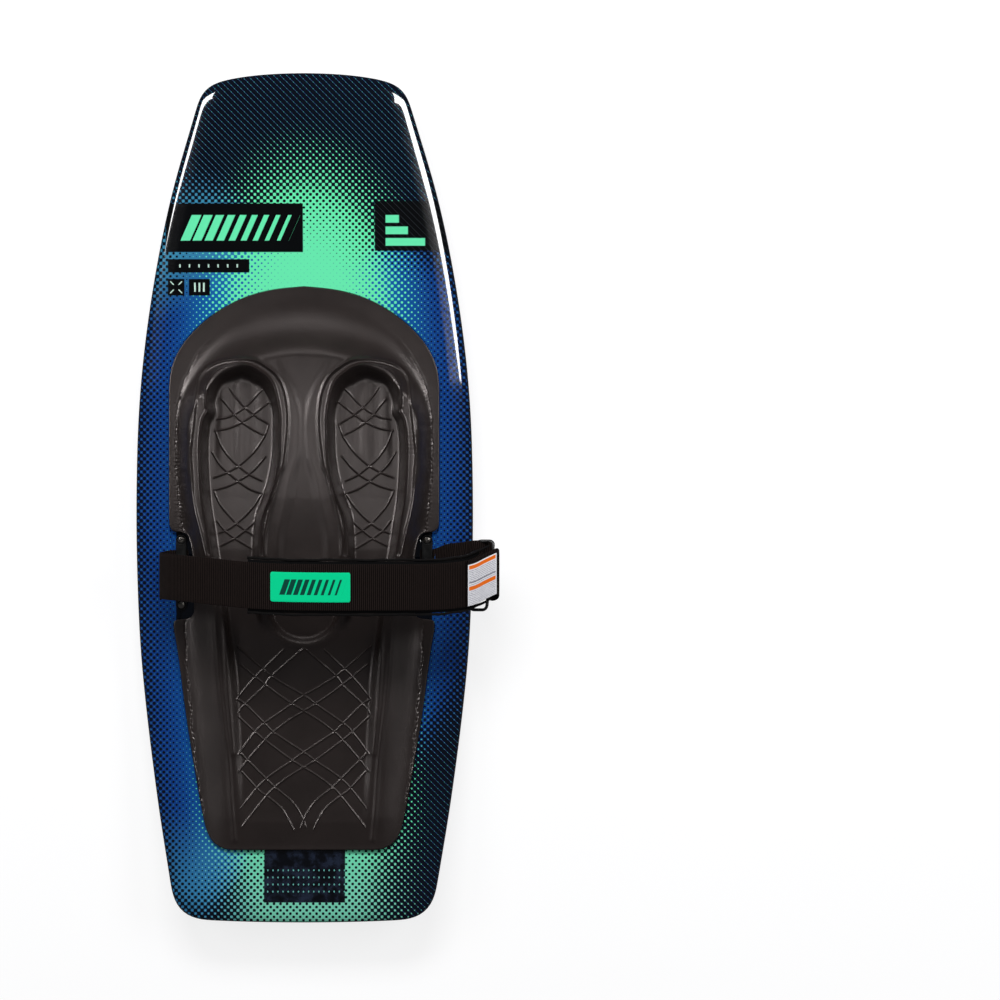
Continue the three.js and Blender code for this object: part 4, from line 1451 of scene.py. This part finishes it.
def care_tag():
    path = tail_path()
    rows = np.where(path.points[:, 2] > TAG_LOW_Z)[0]
    path.part(rows[rows > np.argmax(path.points[:, 0])], -1.7, TAG_SHIFT)
    layer(path, "tag", "care_tag", "tail", TAG_WIDTH, 0.8, tag_material(path.along[-1]))


# ---- ring, anchors ----


RING_CORNER = 7
RING_WIRE_RADIUS = 2.5


def ring(material):
    """A round wire along a rounded rectangle through both bars."""
    near, far = (np.array([x, RING_Y, z]) for x, z in (TETHER_BAR, STRAP_BAR))
    width = np.linalg.norm(far - near)
    rise = (far - near) / width
    across = np.array([math.sin(RING_SKEW), math.cos(RING_SKEW), 0])
    normal = np.cross(rise, across)
    half = np.array([width / 2 - RING_CORNER, RING_LENGTH / 2 - RING_CORNER])
    outline = []
    for quadrant, signs in enumerate([(1, 1), (-1, 1), (-1, -1), (1, -1)]):
        for degrees in np.linspace(0, 90, 9):
            angle = math.radians(degrees + 90 * quadrant)
            outline.append(half * signs + [RING_CORNER * math.cos(angle), RING_CORNER * math.sin(angle)])
    wire_line = resample(closed(outline), 2.0)[:-1]
    turn = np.linspace(0, 2 * math.pi, 16, endpoint=False)
    rings = []
    for (u, v), (du, dv) in zip(wire_line, loop_tangents(wire_line)):
        centre = (near + far) / 2 + rise * u + across * v
        sideways = rise * dv - across * du
        around = [sideways * math.cos(a) + normal * math.sin(a) for a in turn]
        rings.append(centre + RING_WIRE_RADIUS * np.array(around))
    made = Build()
    made.strip([*rings, rings[0]])
    wire = made.object("ring_wire", material)
    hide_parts("strap_ring")
    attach(wire, "ring")


def stadium(radius, half_length, count=16):
    """A bar's outline with half-round ends."""
    angle = np.radians(np.linspace(0, 180, count))
    end = np.column_stack([radius * np.cos(angle), half_length - radius + radius * np.sin(angle)])
    return np.vstack([end, -end])


PLATE_EDGE = 1.6
PLATE_FACE = PLATE_TOP - 0.15
HEAD_PIT = 44
SLOT_HALF_LENGTH = 33.5
SLOT_TOP = PLATE_BOTTOM + 2.8
PLATE_SCREWS = [(0, -SCREW_SPACING / 2), (0, SCREW_SPACING / 2)]


def plate_rim(radius):
    """The raised rim round a screw."""
    return 0.9 * bump_line(radius - RIM_RADIUS, 0.7)


def plate_bottom(points):
    return np.where(np.abs(points[:, 1]) < SLOT_HALF_LENGTH, SLOT_TOP, PLATE_BOTTOM)


def anchor_plate(side, sign, material):
    """A stadium bar with rounded top edges, raised rims round its screws and a slot for the webbing."""
    centre = np.array([sign * ANCHOR_X, ANCHOR_Y])
    half_length = (SCREW_SPACING + PLATE_WIDTH) / 2
    outline = resample(closed(stadium(PLATE_WIDTH / 2, half_length)), 1.6)[:-1]
    inward = -inward_normals(outline)
    edge = outline + inward * PLATE_EDGE
    points = grid_points(edge, 1.7, 0.8)
    points = points[distances(points, PLATE_SCREWS) > WASHER_RADIUS + 0.7]
    place, faces = triangulate(edge, [circle(*at, WASHER_RADIUS, 32) for at in PLATE_SCREWS], points)
    dished = -0.5 * smooth(42, 34, np.abs(place[:, 1])) * smooth(5, 2, np.abs(place[:, 0]))
    made = Build()
    top = PLATE_FACE + plate_rim(distances(place, PLATE_SCREWS)) + dished
    made.add(lifted(place + centre, top), faces)
    rings = []
    for sideways, down in quarter(5):
        at = outline + inward * PLATE_EDGE * sideways
        rings.append(lifted(at + centre, np.full(len(at), PLATE_FACE) - PLATE_EDGE * down))
    rings[0][:, 2] += plate_rim(distances(edge, PLATE_SCREWS))
    rings.append(lifted(outline + centre, plate_bottom(outline)))
    made.strip(rings)
    holes = [circle(*at, PLATE_HOLE_RADIUS, 16) for at in PLATE_SCREWS]
    base, base_faces = triangulate(outline, holes, grid_points(outline, 4, 1.2))
    made.add(lifted(base + centre, plate_bottom(base)), base_faces[:, ::-1])
    for at in PLATE_SCREWS:
        hole = [
            (WASHER_RADIUS, PLATE_FACE + plate_rim(WASHER_RADIUS)),
            (WASHER_RADIUS, HEAD_PIT),
            (PLATE_HOLE_RADIUS, HEAD_PIT - 0.2),
            (PLATE_HOLE_RADIUS, PLATE_BOTTOM),
        ]
        made.strip([lifted(circle(*at, radius, 32) + centre, np.full(32, z)) for radius, z in hole])
    plate = made.object(f"plate_{side}", material)
    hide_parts(f"anchor_plate_{side}")
    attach(plate, "board")


HEAD_RADIUS = 5.3
HEAD_EDGE = 4.9
HEAD_HEIGHT = 3.2
CROSS_REACH = 3.1
THREAD_TURNS = 14
THREAD_STEPS = 6


def screw(name, x, y, turn, material):
    """A pan head with a cross recess, on a threaded shank."""
    angles = np.linspace(0, 2 * math.pi, 96, endpoint=False)
    cos, sin = np.cos(angles), np.sin(angles)
    rings = []

    def add_ring(radius, z):
        rings.append(np.column_stack([radius * cos, radius * sin, np.full(96, z)]))

    for radius in [*np.linspace(0.02, HEAD_EDGE, 30), 5.15, 5.28, HEAD_RADIUS]:
        dome = HEAD_HEIGHT - 0.055 * radius**2
        if radius >= HEAD_EDGE:
            dome = HEAD_HEIGHT - 1.32 - (radius - HEAD_EDGE) * 1.4
        px, py = radius * cos, radius * sin
        u = np.abs(px * math.cos(turn) + py * math.sin(turn))
        v = np.abs(py * math.cos(turn) - px * math.sin(turn))
        arm = np.maximum(*(smooth(0.95, 0.6, a) * smooth(CROSS_REACH, 2.3, b) for a, b in ((u, v), (v, u))))
        add_ring(radius, dome - 1.9 * arm * (1 - 0.45 * min(1, radius / CROSS_REACH)))
    for radius, z in [(HEAD_RADIUS, 0.15), (5.1, 0.0), (3.0, 0.0)]:
        add_ring(radius, z)
    for step in range(THREAD_TURNS * THREAD_STEPS):
        z = -0.3 - step / THREAD_STEPS
        add_ring(2.72 + 0.25 * np.cos(angles + 2 * math.pi * z), z)
    add_ring(1.9, -16.0)
    add_ring(0.02, -16.6)
    made = Build()
    made.strip([points + [x, y, HEAD_SEAT] for points in rings])
    head = made.object(f"screw_{name}", material, merge=0.06)
    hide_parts(f"anchor_screw_{name}")
    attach(head, "board")


# ---- stage ----


FLOOR_GLOW = 0.8
FLOOR_HALF_SIZE = 9000
FLOOR_ROWS = 24
FLOOR_GAP = 0.2


def floor():
    graph = Graph("floor", roughness=0.9, specular=0.1)
    graph.place()
    material = graph.finish(graph.mix(graph.noise(0.002), srgb(146, 146, 148), srgb(150, 150, 151)))
    graph.shader.inputs["Emission Color"].default_value = (1, 1, 1, 1)
    graph.shader.inputs["Emission Strength"].default_value = FLOOR_GLOW
    made = Build()
    xs = np.linspace(-FLOOR_HALF_SIZE, FLOOR_HALF_SIZE, FLOOR_ROWS)
    level = cad_box[0].z / MM - FLOOR_GAP
    made.strip([np.array([(x, y, level) for x in xs]) for y in xs], closed=False)
    plane = made.object("floor", material)
    plane.visible_glossy = False


def area_light(name, place, target, size, radiance, colour, reflected):
    """A rectangular light that either colours surfaces or is only seen reflected in them."""
    data = bpy.data.lights.new(name, "AREA")
    data.shape = "RECTANGLE"
    data.size, data.size_y = size
    data.energy = radiance * math.pi * size[0] * size[1]
    data.color = colour
    light = bpy.data.objects.new(name, data)
    light.location = place
    light.rotation_mode = "QUATERNION"
    light.rotation_quaternion = (Vector(target) - Vector(place)).to_track_quat("-Z", "Y")
    light.visible_diffuse = not reflected
    light.visible_glossy = reflected
    bpy.context.scene.collection.objects.link(light)
    return light


SKY_COLOUR = (0.9, 0.93, 1.0, 1)
SKY_STRENGTH = 0.06
WHITE = (1, 1, 1)
WARM = (1.0, 0.91, 0.89)

# Each light's name, place, target, size and radiance.
KEY_LIGHTS = [
    ("nose_key", (-0.3, 2.3, 2.6), (0, 0, 0), (2.4, 1.0), 11),
    ("right_fill", (2.3, 0.3, 2.0), (0, 0, 0), (2.0, 1.0), 4),
    ("left_fill", (-2.3, 0.3, 2.0), (0, 0, 0), (2.0, 1.0), 3),
]
# Lights that only make reflections, each group on its own pieces: group, pieces, colour, lights.
REFLECTED_LIGHTS = [
    ("glossy_pieces", ["deck_skin", "hull_skin", "ring_wire"], WHITE, [
        ("right_panel", (0.97, 0.58, 1.47), (0.22, 0.58, 0.06), (0.40, 1.04), 27),
        ("left_panel", (-1.04, 0.64, 1.43), (-0.22, 0.64, 0.06), (0.32, 0.95), 27),
    ]),
    ("pad_only", ["knee_pad_foam"], WARM, [
        ("nose_sheen", (-0.1, 1.9, 1.7), (0, 0.2, 0), (1.6, 0.5), 3.2),
        ("left_sheen", (-1.7, 0.6, 1.35), (0, 0.2, 0), (0.5, 0.2), 120),
        ("right_sheen", (1.7, 0.6, 1.35), (0, 0.2, 0), (0.5, 0.2), 98),
        ("left_glow", (-0.12, 0.1, 0.42), (-0.12, 0.1, 0), (0.1, 0.2), 4.2),
        ("right_glow", (0.11, 0.1, 0.42), (0.11, 0.1, 0), (0.1, 0.2), 3.8),
    ]),
    ("trim_pieces", ["plate_left", "plate_right", *(f"screw_{name}" for name, _, _ in SCREWS)], WHITE, [
        ("trim_left", (-0.9, 1.2, 1.6), (0, -0.1, 0), (0.5, 0.3), 16),
        ("trim_right", (1.2, 0.6, 1.4), (0, -0.1, 0), (0.3, 0.3), 22),
    ]),
]


def studio():
    world = bpy.data.worlds.new("studio")
    world.use_nodes = True
    background = world.node_tree.nodes["Background"]
    background.inputs["Color"].default_value = SKY_COLOUR
    background.inputs["Strength"].default_value = SKY_STRENGTH
    bpy.context.scene.world = world
    bpy.context.scene.view_settings.view_transform = "Standard"
    for settings in KEY_LIGHTS:
        area_light(*settings, WHITE, reflected=False)
    for group, pieces, colour, lights in REFLECTED_LIGHTS:
        receivers = bpy.data.collections.new(group)
        bpy.context.scene.collection.children.link(receivers)
        for piece in pieces:
            receivers.objects.link(bpy.data.objects[piece])
        for settings in lights:
            light = area_light(*settings, colour, reflected=True)
            light.light_linking.receiver_collection = receivers


# ---- assembly ----

deck_skin(deck_material())
hull_skin(hull_material())
knee_pad(pad_material())

WEBBING = webbing_material()
main_webbing(WEBBING)
tail_webbing(WEBBING)
return_strap(WEBBING)
strap_padding(
    neoprene_material("neoprene", srgb(10, 10, 10), srgb(22, 22, 23)),
    neoprene_material("binding_tape", srgb(14, 13, 13), srgb(30, 29, 29)),
)
layer(arch_part(19, 28.8, 1.8, 0.8), "patch", "strap_patch", "strap", 46, 1.0, patch_material(), 3.0)
loop_pile, hook_strip = tape_material("loop_pile", 1.4), tape_material("hook_strip", 2.2)
layer(arch_part(44.2, 46.5, 1.8, 0.8), "loop_pile", "loop_tape", "strap", 50, 1.0, loop_pile)
layer(arch_part(44.2, 46, 3.1, 0.8), "hook_strip", "hook_tape", "tail", 50, 1.0, hook_strip)
care_tag()

ring(moulded_material("ring_nylon", srgb(12, 12, 12), srgb(26, 26, 27), 0.35))
PLATE = moulded_material("plate_nylon", srgb(12, 12, 12), srgb(28, 28, 28), 0.4)
STEEL = moulded_material("screw_steel", srgb(138, 134, 128), srgb(188, 184, 178), 0.34, 1.0)
for side, sign in (("left", -1), ("right", 1)):
    anchor_plate(side, sign, PLATE)
for number, (name, x, y) in enumerate(SCREWS):
    screw(name, x, y, 0.4 + 1.1 * number, STEEL)

INNER = {
    "foam_core": foam_material(),
    "anchor_block": moulded_material("block_nylon", srgb(168, 172, 178), srgb(196, 198, 202), 0.6),
    "threaded_insert": moulded_material("insert_brass", srgb(150, 116, 48), srgb(196, 160, 84), 0.35, 1.0),
}
for name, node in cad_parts.items():
    for start, material in INNER.items():
        if name.startswith(start):
            node.data.materials.clear()
            node.data.materials.append(material)

floor()
studio()
